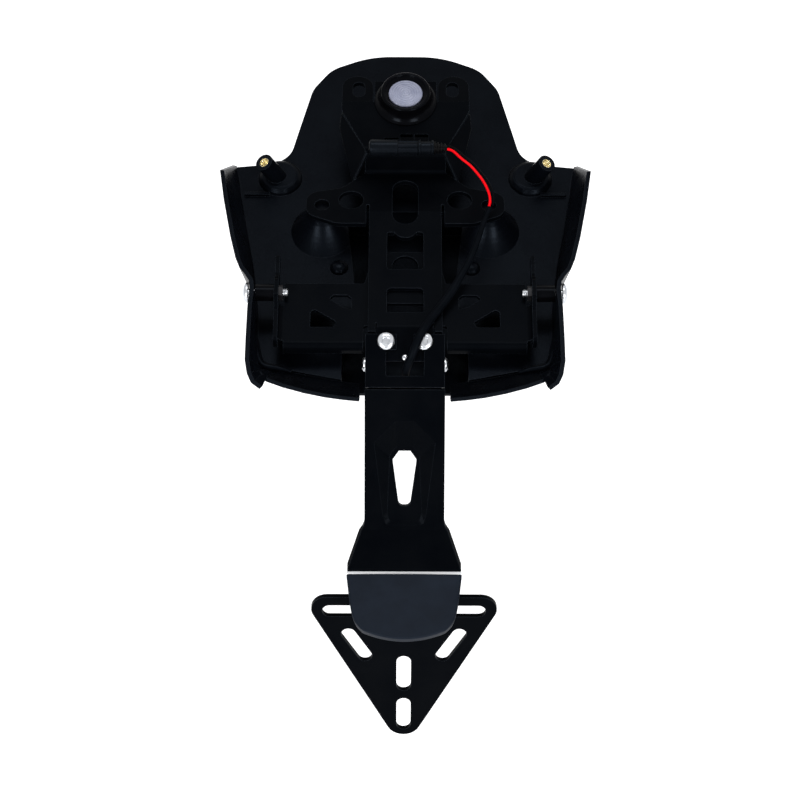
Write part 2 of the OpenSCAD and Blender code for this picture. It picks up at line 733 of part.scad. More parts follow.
// Lead: points of the route in millimetres, chosen by hand
red_route = [
    [25.3, 27.2, 20.3], [26.6, 26.6, 20.5], [29, 24.7, 20.6], [33.6, 19.7, 19.6], [38.9, 15.3, 18], [42.9, 10.7, 16.2],
    [46.4, 6.1, 14.2], [48.9, 1.5, 12], [50.2, -2, 9.8], [50.4, -5, 8], [49.8, -7.6, 6.6]
];
black_route = [
    [25.3, 29.2, 20.5], [27, 28.7, 20.8], [29.9, 26.4, 20.8], [35, 21.3, 19.8], [40.5, 16.6, 18.2], [44.7, 11.7, 16.4],
    [48.3, 6.9, 14.4], [50.9, 2.3, 12.2], [52.4, -1.6, 10], [52.5, -4.8, 8.2], [51.8, -7.4, 6.8]
];
sleeve_route = [
    [50.4, -8.4, 6.3], [49.4, -10.6, 5.9], [48, -14.2, 5.2], [46.4, -18.9, 4.6], [45, -23.8, 4], [43.4, -29.3, 3.4],
    [41.7, -35.3, 2.6], [39.5, -41.7, 1.6], [36.9, -48, 0.2], [33.8, -54.2, -1], [31, -59.4, -2.6],
    [28.2, -64.2, -4.4], [25.3, -68.6, -6.1], [22.2, -73, -7.4], [19, -77.6, -8.3], [16, -82.1, -8.9],
    [13.2, -87, -9.1], [10.6, -92, -9], [8.6, -96, -10.1], [6.8, -99.6, -12], [5.2, -102.6, -14.6],
    [3.8, -104.8, -17.8], [2.5, -106, -21], [1.4, -106.6, -24.6], [0.6, -106.8, -28.6], [0.5, -106.8, -33],
    [1.4, -106.9, -38], [3.6, -108, -42.6], [6.6, -110, -47.2], [9.8, -112.8, -52], [12, -116, -57],
    [13, -120, -63], [13.4, -126.9, -74.2], [13.4, -136.3, -91.9], [13, -145.7, -109], [12, -151.4, -117.6],
    [9.4, -158.4, -124.6], [5.8, -165.6, -129.6], [2.6, -171.4, -132.8], [0.6, -174.4, -134.6], [0, -177.4, -133.8]
];
// Tube through the points of a route: n sides, radius from r0 to r1 over the first share of points
function cross3(a, b) = [a[1] * b[2] - a[2] * b[1], a[2] * b[0] - a[0] * b[2], a[0] * b[1] - a[1] * b[0]];
function heading(p, i) = unit(p[min(len(p) - 1, i + 1)] - p[max(0, i - 1)]);
module tube(p, r0, r1, n = 8) {
    m = len(p);
    pts = [for (i = [0:m - 1])
        let(
            d = heading(p, i),
            u = unit(cross3(d, [0, -0.64, 0.77])),
            v = cross3(d, u),
            r = r0 + (r1 - r0) * min(1, i / 10)
        )
        each [for (k = [0:n - 1]) p[i] + r * (cos(360 * k / n) * u + sin(360 * k / n) * v)]];
    sides = [for (i = [0:m - 2]) each [for (k = [0:n - 1])
        [i * n + k, i * n + (k + 1) % n, (i + 1) * n + (k + 1) % n, (i + 1) * n + k]]];
    polyhedron(
        points = pts,
        faces = concat([[for (k = [n - 1:-1:0]) k]], sides, [[for (k = [0:n - 1]) (m - 1) * n + k]]),
        convexity = 6
    );
}
module wire_red() {
    color([0.85, 0.02, 0.04]) tube(red_route, wire_d / 2, wire_d / 2);
}
module wire_black() {
    color([0.04, 0.04, 0.05]) tube(black_route, wire_d / 2, wire_d / 2);
}
module cable_sleeve() {
    color([0.07, 0.08, 0.09]) tube(sleeve_route, sleeve_top_d / 2, sleeve_d / 2);
}

// Stem bracket: a folded channel, open at the top between its two lugs
module stem_side() {
    // Side wall in the face's frame: X rearwards along the slope, Y outwards
    polygon(rounded([
        [0.2, 0, 0.2], [0.2, -10, 5], [8, -stem_depth, 6], [stem_l - 1, -stem_depth, 5], [stem_l, -3, 1], [stem_l, 0, 0.2]
    ]));
}
stem_window_half = 11;
module stem_bracket() {
    color([0.06, 0.07, 0.09])
        difference() {
            on_face(spine_end, stem_slope) {
                translate([0, 0, -stem_t])
                    linear_extrude(stem_t)
                        difference() {
                            polygon(rounded([
                                [stem_half_w, -0.2, 1], [stem_half_w, -stem_l, 0.4],
                                [-stem_half_w, -stem_l, 0.4], [-stem_half_w, -0.2, 1]
                            ]));
                            polygon(rounded([
                                [-5, 1, 0], [5, 1, 0], [5, -9.4, 0.6], [stem_window_half, -9.4, 0.6],
                                [stem_window_half, -24.6, 0.8], [-stem_window_half, -24.6, 0.8],
                                [-stem_window_half, -9.4, 0.6], [-5, -9.4, 0.6]
                            ]));
                        }
                for (s = [-1, 1])
                    translate([s * (stem_half_w - stem_t / 2), 0, 0])
                        rotate([0, 0, -90])
                            rotate([90, 0, 0])
                                linear_extrude(stem_t, center = true) stem_side();
            }
            on_face(spine_end, stem_slope) {
                for (s = [-1, 1])
                    translate([s * stem_bolt_x, -stem_bolt_s, -6]) cylinder(d = bolt_d + 2 * hole_gap, h = 12);
                translate([0, -pivot_s, pivot_z])
                    rotate([0, 90, 0]) cylinder(d = screw_d + 2 * hole_gap, h = 80, center = true);
            }
        }
}
module stem_bolt(side) {
    color([0.75, 0.76, 0.78])
        on_face(spine_end, stem_slope)
            translate([side * stem_bolt_x, -stem_bolt_s, 0])
                button_screw(bolt_d, stem_t + main_t + 6, button_d, 3.3, 4);
}
module stem_nut(side) {
    color([0.6, 0.61, 0.63])
        on_face(spine_end, stem_slope)
            translate([side * stem_bolt_x, -stem_bolt_s, -stem_t - main_t - 4.8]) hex_nut(bolt_d, 10, 4.8);
}
module centre_screw() {
    color([0.8, 0.8, 0.82])
        on_face(spine_end, stem_slope)
            translate([0, -centre_screw_s, -stem_t]) button_screw(centre_screw_d, main_t + 1, 3.6, 1.2, 1.3);
}

// Arm with its flare and the mounting flange under the hood
dish_outer = [
    [-5.2, -19.6, 1], [5.2, -19.6, 1], [18, -33.4, 1.6], [17, -41, 4], [12.8, -80, 6], [11.2, -86.2, 3],
    [-11.2, -86.2, 3], [-12.8, -80, 6], [-17, -41, 4], [-18, -33.4, 1.6]
];
dish_inner = [
    [-4.6, -37.6, 1], [4.6, -37.6, 1], [9, -43.6, 1.2], [8.8, -47, 3], [10.2, -79, 5], [8.8, -84, 2.4],
    [-8.8, -84, 2.4], [-10.2, -79, 5], [-8.8, -47, 3], [-9, -43.6, 1.2]
];
keyhole = [
    [-3.4, -40.4, 0.6], [3.4, -40.4, 0.6], [7, -45.8, 0.8], [6.8, -48.4, 2], [3.3, -74.6, 3.2], [-3.3, -74.6, 3.2],
    [-6.8, -48.4, 2], [-7, -45.8, 0.8]
];
// Depth of the dish's floor, which rises towards the flare
dish_deep_s = 37.6;
dish_shallow_s = 87.6;
function dish_z(y) = -dish_depth * (dish_shallow_s + y + 6) / (dish_shallow_s - dish_deep_s + 6);
// Solid between two outlines with equal numbers of points: a follows the dish's floor less t, b lies at z1
module tapered(a, b, t, z1) {
    n = len(a);
    pts = concat([for (p = a) [p[0], p[1], dish_z(p[1]) - t]], [for (p = b) [p[0], p[1], z1]]);
    sides = [for (k = [0:n - 1]) [k, (k + 1) % n, n + (k + 1) % n, n + k]];
    polyhedron(points = pts, faces = concat([[for (k = [n - 1:-1:0]) k]], sides, [[for (k = [0:n - 1]) n + k]]),
        convexity = 4);
}
arm_ear_x = stem_half_w - stem_t - 0.1;
pivot = spine_end + pivot_s * rearward(stem_slope) + pivot_z * up(stem_slope);
module arm_ear() {
    // Side view in Y and Z: from the pivot down onto the back of the arm's sheet
    a = arm_start + 3 * rearward(arm_slope) - 0.3 * up(arm_slope);
    b = arm_start + 26 * rearward(arm_slope) - 0.3 * up(arm_slope);
    c = b - 9 * up(arm_slope);
    d = spine_end + 24 * rearward(stem_slope) - (stem_t + 1.2) * up(stem_slope);
    translate([arm_ear_x, 0, 0])
        rotate([90, 0, -90])
            mirror([1, 0, 0])
                linear_extrude(arm_t)
                    union() {
                        polygon([a, b, c, pivot + [4.6, -4.6], pivot + 6 * up(stem_slope), d]);
                        translate(pivot) circle(r = 6.5);
                    }
}
module arm() {
    color([0.07, 0.08, 0.1])
        difference() {
            union() {
                difference() {
                    intersection() {
                        folded([arm_start, arm_end, flare_end, flange_end],
                            [arm_slope, flare_slope, plate_slope], 1.4, arm_t, flare_half_w + 4);
                        // Front view of the blank
                        rotate([90, 0, 0])
                            translate([0, 0, 100])
                                linear_extrude(130)
                                    polygon(rounded([
                                        [arm_half_w - 0.4, arm_start[1] + 4, 0], [arm_half_w, arm_end[1] + 2, 8],
                                        [flare_half_w, flare_end[1] - 0.6, 0.4], [flange_half_w, flare_end[1] - 0.8, 0.4],
                                        [flange_half_w, flange_end[1] - 4, 4], [-flange_half_w, flange_end[1] - 4, 4],
                                        [-flange_half_w, flare_end[1] - 0.8, 0.4], [-flare_half_w, flare_end[1] - 0.6, 0.4],
                                        [-arm_half_w, arm_end[1] + 2, 8], [0.4 - arm_half_w, arm_start[1] + 4, 0]
                                    ]));
                    }
                    on_face(arm_start, arm_slope)
                        tapered(rounded(dish_inner), rounded(dish_outer), 0, eps);
                }
                // Dished emboss of even thickness
                on_face(arm_start, arm_slope)
                    difference() {
                        tapered(
                            rounded([for (p = dish_inner) [p[0] * 1.12, p[1] + (p[1] > -56 ? 2 : -0.4), p[2] + 1]]),
                            rounded([for (p = dish_outer) [p[0] * 1.06, p[1] + (p[1] > -56 ? 1 : -0.2), p[2] + 1]]),
                            arm_t, -0.6);
                        tapered(rounded(dish_inner), rounded(dish_outer), 0, eps);
                    }
                arm_ear();
                mirror([1, 0, 0]) arm_ear();
            }
            on_face(arm_start, arm_slope)
                translate([0, 0, -20]) linear_extrude(40) polygon(rounded(keyhole));
            translate([0, pivot[0], pivot[1]])
                rotate([0, 90, 0]) cylinder(d = screw_d + 2 * hole_gap, h = 60, center = true);
            on_face(flare_end, plate_slope) {
                for (s = [-1, 1])
                    translate([s * plate_bolt_x, -plate_bolt_s, -10]) cylinder(d = screw_d + 2 * hole_gap, h = 20);
                translate([0, -lead_s, -10]) cylinder(d = stub_d + 0.6, h = 20);
            }
        }
}
lead_s = 10.6;
stub_d = 7;
flange_half_w = 25;
module pivot_bolt(side) {
    color([0.75, 0.76, 0.78])
        translate([side * stem_half_w, pivot[0], pivot[1]])
            rotate([0, side * 90, 0]) button_screw(screw_d, stem_t + arm_t + 5, 8.4, 2.6, 3);
}
module pivot_nut(side) {
    color([0.6, 0.61, 0.63])
        translate([side * (arm_ear_x - arm_t), pivot[0], pivot[1]])
            rotate([0, -side * 90, 0]) hex_nut(screw_d, 8, 4);
}

// Plate lamp and hood
module light_strip() {
    color([0.93, 0.94, 0.96])
        on_face(flare_end, plate_slope)
            translate([-flare_half_w, -strip_h, 0]) cube([2 * flare_half_w, strip_h, strip_t]);
}
hood_half = [
    [flare_half_w, 0.6, 0], [flare_half_w - 0.7, -9.5, 30], [flare_half_w - 2.8, -17.6, 40],
    [flare_half_w - 8.8, -hood_l + 4.2, 2], [0, -hood_l - 1.4, 70]
];
function inset(pts, d) = [for (p = pts) [p[0] > 1 ? p[0] - d : (p[0] < -1 ? p[0] + d : 0), p[1] < 0 ? p[1] + d : p[1] + 4, p[2]]];
hood_outline = [
    for (p = hood_half) p, for (i = [len(hood_half) - 2:-1:0]) [-hood_half[i][0], hood_half[i][1], hood_half[i][2]]
];
hood_wall_l = 30;
module hood() {
    run = hood_l + 6;
    tilt = plate_slope - hood_slope;
    top = [-run * cos(tilt), strip_t + run * sin(tilt)];
    under = [-hood_t * sin(tilt), -hood_t * cos(tilt)];
    color([0.16, 0.18, 0.22])
        difference() {
            union() {
                // Skin, as a side section cut to its outline
                intersection() {
                    on_face(flare_end, plate_slope)
                        rotate([90, 0, 90])
                            linear_extrude(2 * flare_half_w + 8, center = true)
                                polygon([
                                    [0, strip_t], top, top + under,
                                    [-(hood_t + eps * cos(tilt)) / sin(tilt), strip_t + eps], [-eps, strip_t]
                                ]);
                    on_face(hood_start, hood_slope)
                        translate([0, 0, -20]) linear_extrude(40) polygon(rounded(hood_outline, 8));
                }
                // Turned-down edge, clear of the strip
                difference() {
                    on_face(hood_start, hood_slope)
                        translate([0, 0, -hood_t - 2.6])
                            linear_extrude(hood_t + 1.6)
                                difference() {
                                    polygon(rounded(inset(hood_outline, 0.05), 8));
                                    polygon(rounded(inset(hood_outline, 2.2), 8));
                                }
                    on_face(flare_end, plate_slope)
                        translate([-50, -30, -30]) cube([100, 60, 30 + strip_t + 0.4]);
                }
                // Root wall between the arm's flange and the plate bracket, joined to the skin
                on_face(flare_end, plate_slope)
                    rotate([90, 0, 90])
                        linear_extrude(2 * flange_half_w, center = true)
                            polygon([
                                [-strip_h - eps, eps], [-strip_h - eps, strip_t + 0.3], [-2.9, strip_t + 0.3], [-4.6, 8],
                                [-8, 8], [-8, strip_t], [-hood_wall_l - strip_h, strip_t],
                                [-hood_wall_l - strip_h, eps]
                            ]);
            }
            on_face(flare_end, plate_slope) {
                for (s = [-1, 1])
                    translate([s * plate_bolt_x, -plate_bolt_s, -5]) cylinder(d = screw_d + 2 * hole_gap, h = 20);
                translate([0, -lead_s, -5]) cylinder(d = stub_d + 0.6, h = 20);
            }
        }
}
module light_module() {
    color([0.8, 0.82, 0.84]) {
        on_face(flare_end, plate_slope)
            translate([0, -lead_s, -6]) cylinder(d = stub_d, h = strip_t + 6 + 0.6);
        on_face(flare_end, plate_slope)
            translate([-20, -13.2, strip_t + 0.1]) cube([40, 5.2, 7]);
    }
}

// Number plate bracket, in the frame of the arm's flange
plate_top_s = 15.4;
corner_r = 9.6;
module long_slot(a, b) {
    polygon(slot_outline(a, b, slot_w));
}
module plate_bracket() {
    color([0.09, 0.1, 0.12])
        on_face(flare_end, plate_slope)
            translate([0, 0, strip_t])
                difference() {
                    linear_extrude(plate_t)
                        difference() {
                            polygon(rounded([
                                [plate_w / 2 + 6.6, -plate_top_s, corner_r], [0, -plate_top_s - plate_h - 10, 10.4],
                                [-plate_w / 2 - 6.6, -plate_top_s, corner_r]
                            ], 10));
                            for (s = [-1, 1]) {
                                long_slot([s * 44.2, -26.2], [s * 27, -26.2]);
                                long_slot([s * 33.2, -44.6], [s * 23.4, -62]);
                            }
                            long_slot([0, -66.8], [0, -86.6]);
                            long_slot([0, -101.8], [0, -119.6]);
                        }
                    for (s = [-1, 1])
                        translate([s * plate_bolt_x, -plate_bolt_s, -5]) cylinder(d = screw_d + 2 * hole_gap, h = 20);
                }
}
module plate_bolt(side) {
    color([0.2, 0.2, 0.22])
        on_face(flare_end, plate_slope)
            translate([side * plate_bolt_x, -plate_bolt_s, strip_t + plate_t])
                button_screw(screw_d, plate_t + strip_t + arm_t + 5, 9, 2.6, 3);
}
module plate_nut(side) {
    color([0.6, 0.61, 0.63])
        on_face(flare_end, plate_slope)
            translate([side * plate_bolt_x, -plate_bolt_s, -arm_t - 4]) hex_nut(screw_d, 8, 4);
}

// Side fixings between the tray's side walls and the cross bracket's flanges
module side_spacer(side) {
    color([0.05, 0.05, 0.06])
        translate([side * cross_half_w, side_axis[0], side_axis[1]])
            rotate([0, side * 90, 0])
                difference() {
                    cylinder(d = spacer_d, h = spacer_l);
                    translate([0, 0, -eps]) cylinder(d = screw_d + 2 * hole_gap, h = 20);
                }
}
module side_bolt(side) {
    color([0.75, 0.76, 0.78])
        translate([side * wall_outer_x, side_axis[0], side_axis[1]])
            rotate([0, side * 90, 0])
                button_screw(screw_d, wall_outer_x - side_bolt_end_x, dome_d, 3.2, 4);
}
module side_nut(side) {
    color([0.12, 0.12, 0.13])
        translate([side * (cross_half_w - cross_t), side_axis[0], side_axis[1]])
            rotate([0, -side * 90, 0]) hex_nut(screw_d, 8, 2.6);
}

undertray();
insert(-1);  // insert_left
insert(1);  // insert_right
main_bracket();
cross_bracket();
lens_bezel();
lens();
connector_socket();
connector_plug();
connector_seal();
wire_red();
wire_black();
cable_sleeve();
stem_bracket();
stem_bolt(-1);  // stem_bolt_left
stem_bolt(1);  // stem_bolt_right
stem_nut(-1);  // stem_nut_left
stem_nut(1);  // stem_nut_right
centre_screw();
arm();
pivot_bolt(-1);  // pivot_bolt_left
pivot_bolt(1);  // pivot_bolt_right
pivot_nut(-1);  // pivot_nut_left
pivot_nut(1);  // pivot_nut_right
light_strip();
light_module();
hood();
plate_bracket();
plate_bolt(-1);  // plate_bolt_left
plate_bolt(1);  // plate_bolt_right
plate_nut(-1);  // plate_nut_left
plate_nut(1);  // plate_nut_right
side_spacer(-1);  // side_spacer_left
side_spacer(1);  // side_spacer_right
side_bolt(-1);  // side_bolt_left
side_bolt(1);  // side_bolt_right
side_nut(-1);  // side_nut_left
side_nut(1);  // side_nut_right
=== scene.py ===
"""Looks of the tail tidy: finishes, lamp, lead, screws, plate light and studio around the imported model.

Lengths and placements are in millimetres and become metres in the meshes.
"""

from __future__ import annotations

import json
import logging
import math
from dataclasses import dataclass
from enum import Enum
from typing import Sequence

import bpy
import numpy as np
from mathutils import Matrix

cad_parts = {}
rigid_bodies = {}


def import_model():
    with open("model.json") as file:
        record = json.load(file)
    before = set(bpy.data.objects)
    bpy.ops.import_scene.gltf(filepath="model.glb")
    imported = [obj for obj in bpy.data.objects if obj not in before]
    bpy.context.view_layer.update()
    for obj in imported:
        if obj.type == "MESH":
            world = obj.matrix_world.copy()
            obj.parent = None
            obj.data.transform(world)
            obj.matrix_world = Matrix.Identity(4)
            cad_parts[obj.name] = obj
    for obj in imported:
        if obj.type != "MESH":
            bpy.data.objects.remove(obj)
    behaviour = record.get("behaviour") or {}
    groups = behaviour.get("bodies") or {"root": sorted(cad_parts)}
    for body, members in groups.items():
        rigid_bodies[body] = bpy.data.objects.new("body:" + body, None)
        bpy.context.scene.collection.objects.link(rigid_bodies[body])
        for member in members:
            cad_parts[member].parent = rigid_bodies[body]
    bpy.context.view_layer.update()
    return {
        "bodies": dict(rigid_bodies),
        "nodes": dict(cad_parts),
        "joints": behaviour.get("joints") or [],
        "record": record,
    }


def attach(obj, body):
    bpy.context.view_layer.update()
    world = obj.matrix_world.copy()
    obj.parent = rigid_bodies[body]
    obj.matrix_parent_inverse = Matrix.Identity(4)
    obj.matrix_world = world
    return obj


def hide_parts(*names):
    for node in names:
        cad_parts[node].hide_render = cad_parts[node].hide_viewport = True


LOG = logging.getLogger("tail_tidy")
MM = 0.001
ROOT = "root"
Array = np.ndarray
Piece = bpy.types.Object
Tree = bpy.types.NodeTree
Node = bpy.types.Node
Socket = bpy.types.NodeSocket
WHITE = (1.0, 1.0, 1.0, 1.0)
# Both sides of the object: name and sign of X
SIDES = (("left", -1.0), ("right", 1.0))
# Lengths below this, in millimetres, count as nothing
TINY = 1e-6
# Sockets of a Mix node in its colour mode: share, first colour, second colour and result
MIX_SHARE, MIX_FIRST, MIX_SECOND, MIX_RESULT = 0, 6, 7, 2
# The wave texture multiplies its coordinates by this
WAVE_FACTOR = 20
# Brushed grain is this many times finer along Z than across it
BRUSH_STRETCH = 18.0


def linear_rgb(hex_colour: str) -> tuple[float, float, float, float]:
    """Turn an sRGB hex colour into linear red, green, blue and alpha.

    Args:
        hex_colour: six hex digits, such as "1a1c20".

    Returns:
        The linear colour with alpha 1.
    """
    parts = [int(hex_colour[k : k + 2], 16) / 255 for k in (0, 2, 4)]
    low = [v / 12.92 if v <= 0.04045 else ((v + 0.055) / 1.055) ** 2.4 for v in parts]
    return (low[0], low[1], low[2], 1.0)


def add_node(tree: Tree, kind: str, settings: dict | None = None, links: dict | None = None) -> Node:
    """Add one shader node with its settings and links.

    Args:
        tree: the material's or world's node tree.
        kind: the node's type name after ShaderNode.
        settings: attributes of the node, or input values by socket name or index.
        links: output sockets by the name or index of the input that takes them.

    Returns:
        The new node.
    """
    node = tree.nodes.new("ShaderNode" + kind)
    for name, value in (settings or {}).items():
        if isinstance(name, str) and hasattr(node, name) and name not in node.inputs:
            setattr(node, name, value)
        else:
            node.inputs[name].default_value = value
    for name, socket in (links or {}).items():
        tree.links.new(socket, node.inputs[name])
    return node


def seen_rays(tree: Tree) -> Socket:
    """Return a socket that is 1 for camera, glossy and transmission rays and 0 for the rest.

    Args:
        tree: the node tree of the floor or the world.

    Returns:
        The value's socket.
    """
    path = add_node(tree, "LightPath").outputs
    seen = path["Is Camera Ray"]
    for ray in ("Is Glossy Ray", "Is Transmission Ray"):
        seen = add_node(tree, "Math", {"operation": "MAXIMUM"}, {0: seen, 1: path[ray]}).outputs[0]
    return seen


class Relief(Enum):
    """Kinds of fine relief on a surface."""

    MOULD_GRAIN = "mould grain"
    POWDER_COAT = "powder coat"
    TURNED = "turned rings"
    BRUSHED = "brushed"
    SMOOTH = "smooth"


@dataclass(frozen=True)
class Finish:
    """One finish: a surface's colour, gloss and fine relief.

    Attributes:
        name: name of the material.
        colour: sRGB hex of the body.
        worn: sRGB hex of its paler patches.
        roughness: mean roughness.
        spread: how far roughness wanders to either side.
        metallic: 1 for bare metal.
        specular: specular level of a coating or plastic.
        relief: kind of fine relief.
        grain_mm: size of one grain or ring.
        depth_mm: height of the relief.
        patch_mm: size of the soft patches in colour and gloss.
        edge_mm: radius that softens sharp edges.
        edge_highlight_colour: sRGB hex of the painted highlight along the edges, paler than the body.
        edge_highlight_share: how much of that painted highlight the edges take.
        coat: share of clear coat.
        glow: share of light that shows through, as in a lens.
        sheen: sRGB hex that tints what a coating or plastic mirrors.
    """

    name: str
    colour: str
    worn: str
    roughness: float
    spread: float = 0.05
    metallic: float = 0.0
    specular: float = 0.5
    relief: Relief = Relief.SMOOTH
    grain_mm: float = 1.0
    depth_mm: float = 0.02
    patch_mm: float = 30.0
    edge_mm: float = 0.0
    edge_highlight_colour: str = "3a3e44"
    edge_highlight_share: float = 0.0
    coat: float = 0.0
    glow: float = 0.0
    sheen: str = "ffffff"

    def build(self) -> bpy.types.Material:
        """Build the procedural material of this finish.

        Returns:
            A material whose patterns follow Object coordinates.
        """
        material = bpy.data.materials.new(self.name)
        material.use_nodes = True
        tree = material.node_tree
        tree.nodes.clear()
        place = add_node(tree, "TexCoord").outputs["Object"]
        patches = add_node(
            tree, "TexNoise", {"Scale": 1 / (self.patch_mm * MM), "Detail": 4.0, "Roughness": 0.6},
            {"Vector": place},
        ).outputs["Fac"]
        share = add_node(
            tree, "MapRange", {"From Min": 0.35, "From Max": 0.7, "To Min": 0.0, "To Max": 1.0},
            {"Value": patches},
        ).outputs["Result"]
        body = add_node(
            tree, "Mix",
            {"data_type": "RGBA", MIX_FIRST: linear_rgb(self.colour), MIX_SECOND: linear_rgb(self.worn)},
            {MIX_SHARE: share},
        ).outputs[MIX_RESULT]
        soft = None
        if self.edge_mm > 0:
            radius = self.edge_mm * MM
            soft = add_node(tree, "Bevel", {"samples": 4, "Radius": radius}).outputs["Normal"]
        # Paler colour along the edges is a painted highlight
        if self.edge_highlight_share > 0:
            body = self._painted_edge_highlight(tree, body, soft)
        rough = add_node(
            tree, "MapRange",
            {"From Min": 0.3, "From Max": 0.7, "To Min": self.roughness - self.spread,
             "To Max": self.roughness + self.spread},
            {"Value": patches},
        ).outputs["Result"]
        shader = add_node(
            tree, "BsdfPrincipled",
            {"Metallic": self.metallic, "Specular IOR Level": self.specular, "Coat Weight": self.coat,
             "Coat Roughness": 0.15, "Subsurface Weight": self.glow, "Specular Tint": linear_rgb(self.sheen)},
            {"Base Color": body, "Roughness": rough},
        )
        if self.glow > 0:
            shader.inputs["Subsurface Radius"].default_value = (0.004, 0.004, 0.004)
            shader.inputs["Subsurface Scale"].default_value = 1.0
        normal = self._relief(tree, place, soft)
        if normal is not None:
            tree.links.new(normal, shader.inputs["Normal"])
        add_node(tree, "OutputMaterial", links={"Surface": shader.outputs["BSDF"]})
        return material

    def _painted_edge_highlight(self, tree: Tree, body: Socket, soft: Socket) -> Socket:
        """Mix in a painted highlight along the edges, where the softened normal leaves the face's own.

        Args:
            tree: the material's node tree.
            body: colour of the open surface.
            soft: the softened normal.

        Returns:
            The mixed colour's socket.
        """
        own = add_node(tree, "NewGeometry").outputs["Normal"]
        along = add_node(tree, "VectorMath", {"operation": "DOT_PRODUCT"}, {0: soft, 1: own})
        highlight_mask = add_node(
            tree, "MapRange",
            {"From Min": 0.985, "From Max": 0.8, "To Min": 0.0, "To Max": self.edge_highlight_share},
            {"Value": along.outputs["Value"]},
        ).outputs["Result"]
        return add_node(
            tree, "Mix", {"data_type": "RGBA", MIX_SECOND: linear_rgb(self.edge_highlight_colour)},
            {MIX_SHARE: highlight_mask, MIX_FIRST: body},
        ).outputs[MIX_RESULT]

    def _relief(self, tree: Tree, place: Socket, soft: Socket | None) -> Socket | None:
        """Add the nodes of the fine relief over the softened edges.

        Args:
            tree: the material's node tree.
            place: the Object coordinates.
            soft: the softened normal, or None.

        Returns:
            The normal's socket, or None on a plain smooth surface.
        """
        if self.relief is Relief.SMOOTH:
            return soft
        grain = 1 / (self.grain_mm * MM)
        if self.relief is Relief.TURNED:
            height = add_node(
                tree, "TexWave",
                {"wave_type": "RINGS", "Scale": grain / WAVE_FACTOR, "Distortion": 1.2}, {"Vector": place},
            ).outputs["Fac"]
        elif self.relief is Relief.BRUSHED:
            stretched = add_node(
                tree, "Mapping", {"Scale": (1.0, 1.0, BRUSH_STRETCH)}, {"Vector": place}
            ).outputs["Vector"]
            height = add_node(
                tree, "TexNoise", {"Scale": grain, "Detail": 2.0}, {"Vector": stretched}
            ).outputs["Fac"]
        else:
            fine = 0.9 if self.relief is Relief.MOULD_GRAIN else 0.45
            height = add_node(
                tree, "TexNoise", {"Scale": grain, "Detail": 3.0, "Roughness": fine},
                {"Vector": place},
            ).outputs["Fac"]
        links = {"Height": height}
        if soft is not None:
            links["Normal"] = soft
        bump = add_node(tree, "Bump", {"Strength": 1.0, "Distance": self.depth_mm * MM}, links)
        return bump.outputs["Normal"]


# Mould grain, brush lines and turning marks are 0.05 to 0.2 mm on the real surfaces. Here they are 0.5 to
# 0.9 mm, as coarse as they need to be to show in the render, while orange peel has its real size.

# Injection-moulded polypropylene: fine spark-eroded grain, satin, faintly blue black, with a painted
# highlight along its edges
MOULDED_TRAY = Finish(
    "moulded_polypropylene", "030407", "05070b", 0.28, specular=0.04, sheen="cfe4ff",
    relief=Relief.MOULD_GRAIN, grain_mm=0.7, depth_mm=0.05, patch_mm=26,
    edge_mm=0.7, edge_highlight_colour="2a2e34", edge_highlight_share=0.5,
)
# Moulded ABS of the hood: black plastic given a paler base than the tray, painted light for its lit top, and
# a painted highlight along its edges
MOULDED_HOOD = Finish(
    "moulded_abs_hood", "14181f", "191e26", 0.36, specular=0.022, sheen="dcebff",
    relief=Relief.MOULD_GRAIN, grain_mm=0.8, depth_mm=0.03, patch_mm=18,
    edge_mm=0.8, edge_highlight_colour="3c424a", edge_highlight_share=0.25,
)
# Powder coat on steel sheet: slight orange peel, satin, with a painted highlight along its edges
POWDER_COAT = Finish(
    "satin_powder_coat", "020305", "040507", 0.32, specular=0.014, sheen="dcebff",
    relief=Relief.POWDER_COAT, grain_mm=1.3, depth_mm=0.03, patch_mm=22,
    edge_mm=0.5, edge_highlight_colour="343a42", edge_highlight_share=0.6,
)
# Zinc-plated steel of the visible screws: bright, a little frosted
ZINC_STEEL = Finish(
    "zinc_plated_steel", "c9ccd0", "b4b7bc", 0.24, 0.06, metallic=1.0, relief=Relief.BRUSHED,
    grain_mm=0.5, depth_mm=0.01, patch_mm=4, edge_mm=0.25,
)
# Black oxide on steel: dark, oily sheen
BLACK_OXIDE = Finish(
    "black_oxide_steel", "1c1c1f", "232326", 0.35, 0.06, metallic=0.6, relief=Relief.BRUSHED,
    grain_mm=0.6, depth_mm=0.01, patch_mm=5, edge_mm=0.25,
)
# Turned brass of the inserts
TURNED_BRASS = Finish(
    "turned_brass", "f0e9d2", "e0d4a8", 0.2, metallic=1.0, relief=Relief.TURNED,
    grain_mm=0.6, depth_mm=0.02, patch_mm=3, edge_mm=0.2,
)
# Bell-shaped bezel: smooth thermoplastic elastomer
BEZEL_ELASTOMER = Finish(
    "bezel_elastomer", "030304", "050507", 0.2, 0.04, specular=0.03, sheen="dcebff",
    relief=Relief.MOULD_GRAIN, grain_mm=0.5, depth_mm=0.015, patch_mm=9, edge_mm=0.3,
)
# Opal polycarbonate of the lenses: milky, with a soft gloss
OPAL_LENS = Finish(
    "opal_polycarbonate", "898da1", "777b91", 0.32, 0.04, specular=0.35, patch_mm=5, coat=0.1, glow=0.25
)
# Frosted polycarbonate of the plate light's strip: pale, lit by the room behind it
CLEAR_STRIP = Finish(
    "frosted_polycarbonate_strip", "f4f5f7", "eceef2", 0.22, 0.04, patch_mm=6, coat=0.3, glow=0.2
)
# Moulded nylon of the connector's shells: satin
CONNECTOR_NYLON = Finish(
    "connector_nylon", "06080b", "090b0f", 0.3, specular=0.06, sheen="cfe4ff",
    relief=Relief.MOULD_GRAIN, grain_mm=0.5, depth_mm=0.015, patch_mm=6, edge_mm=0.25,
)
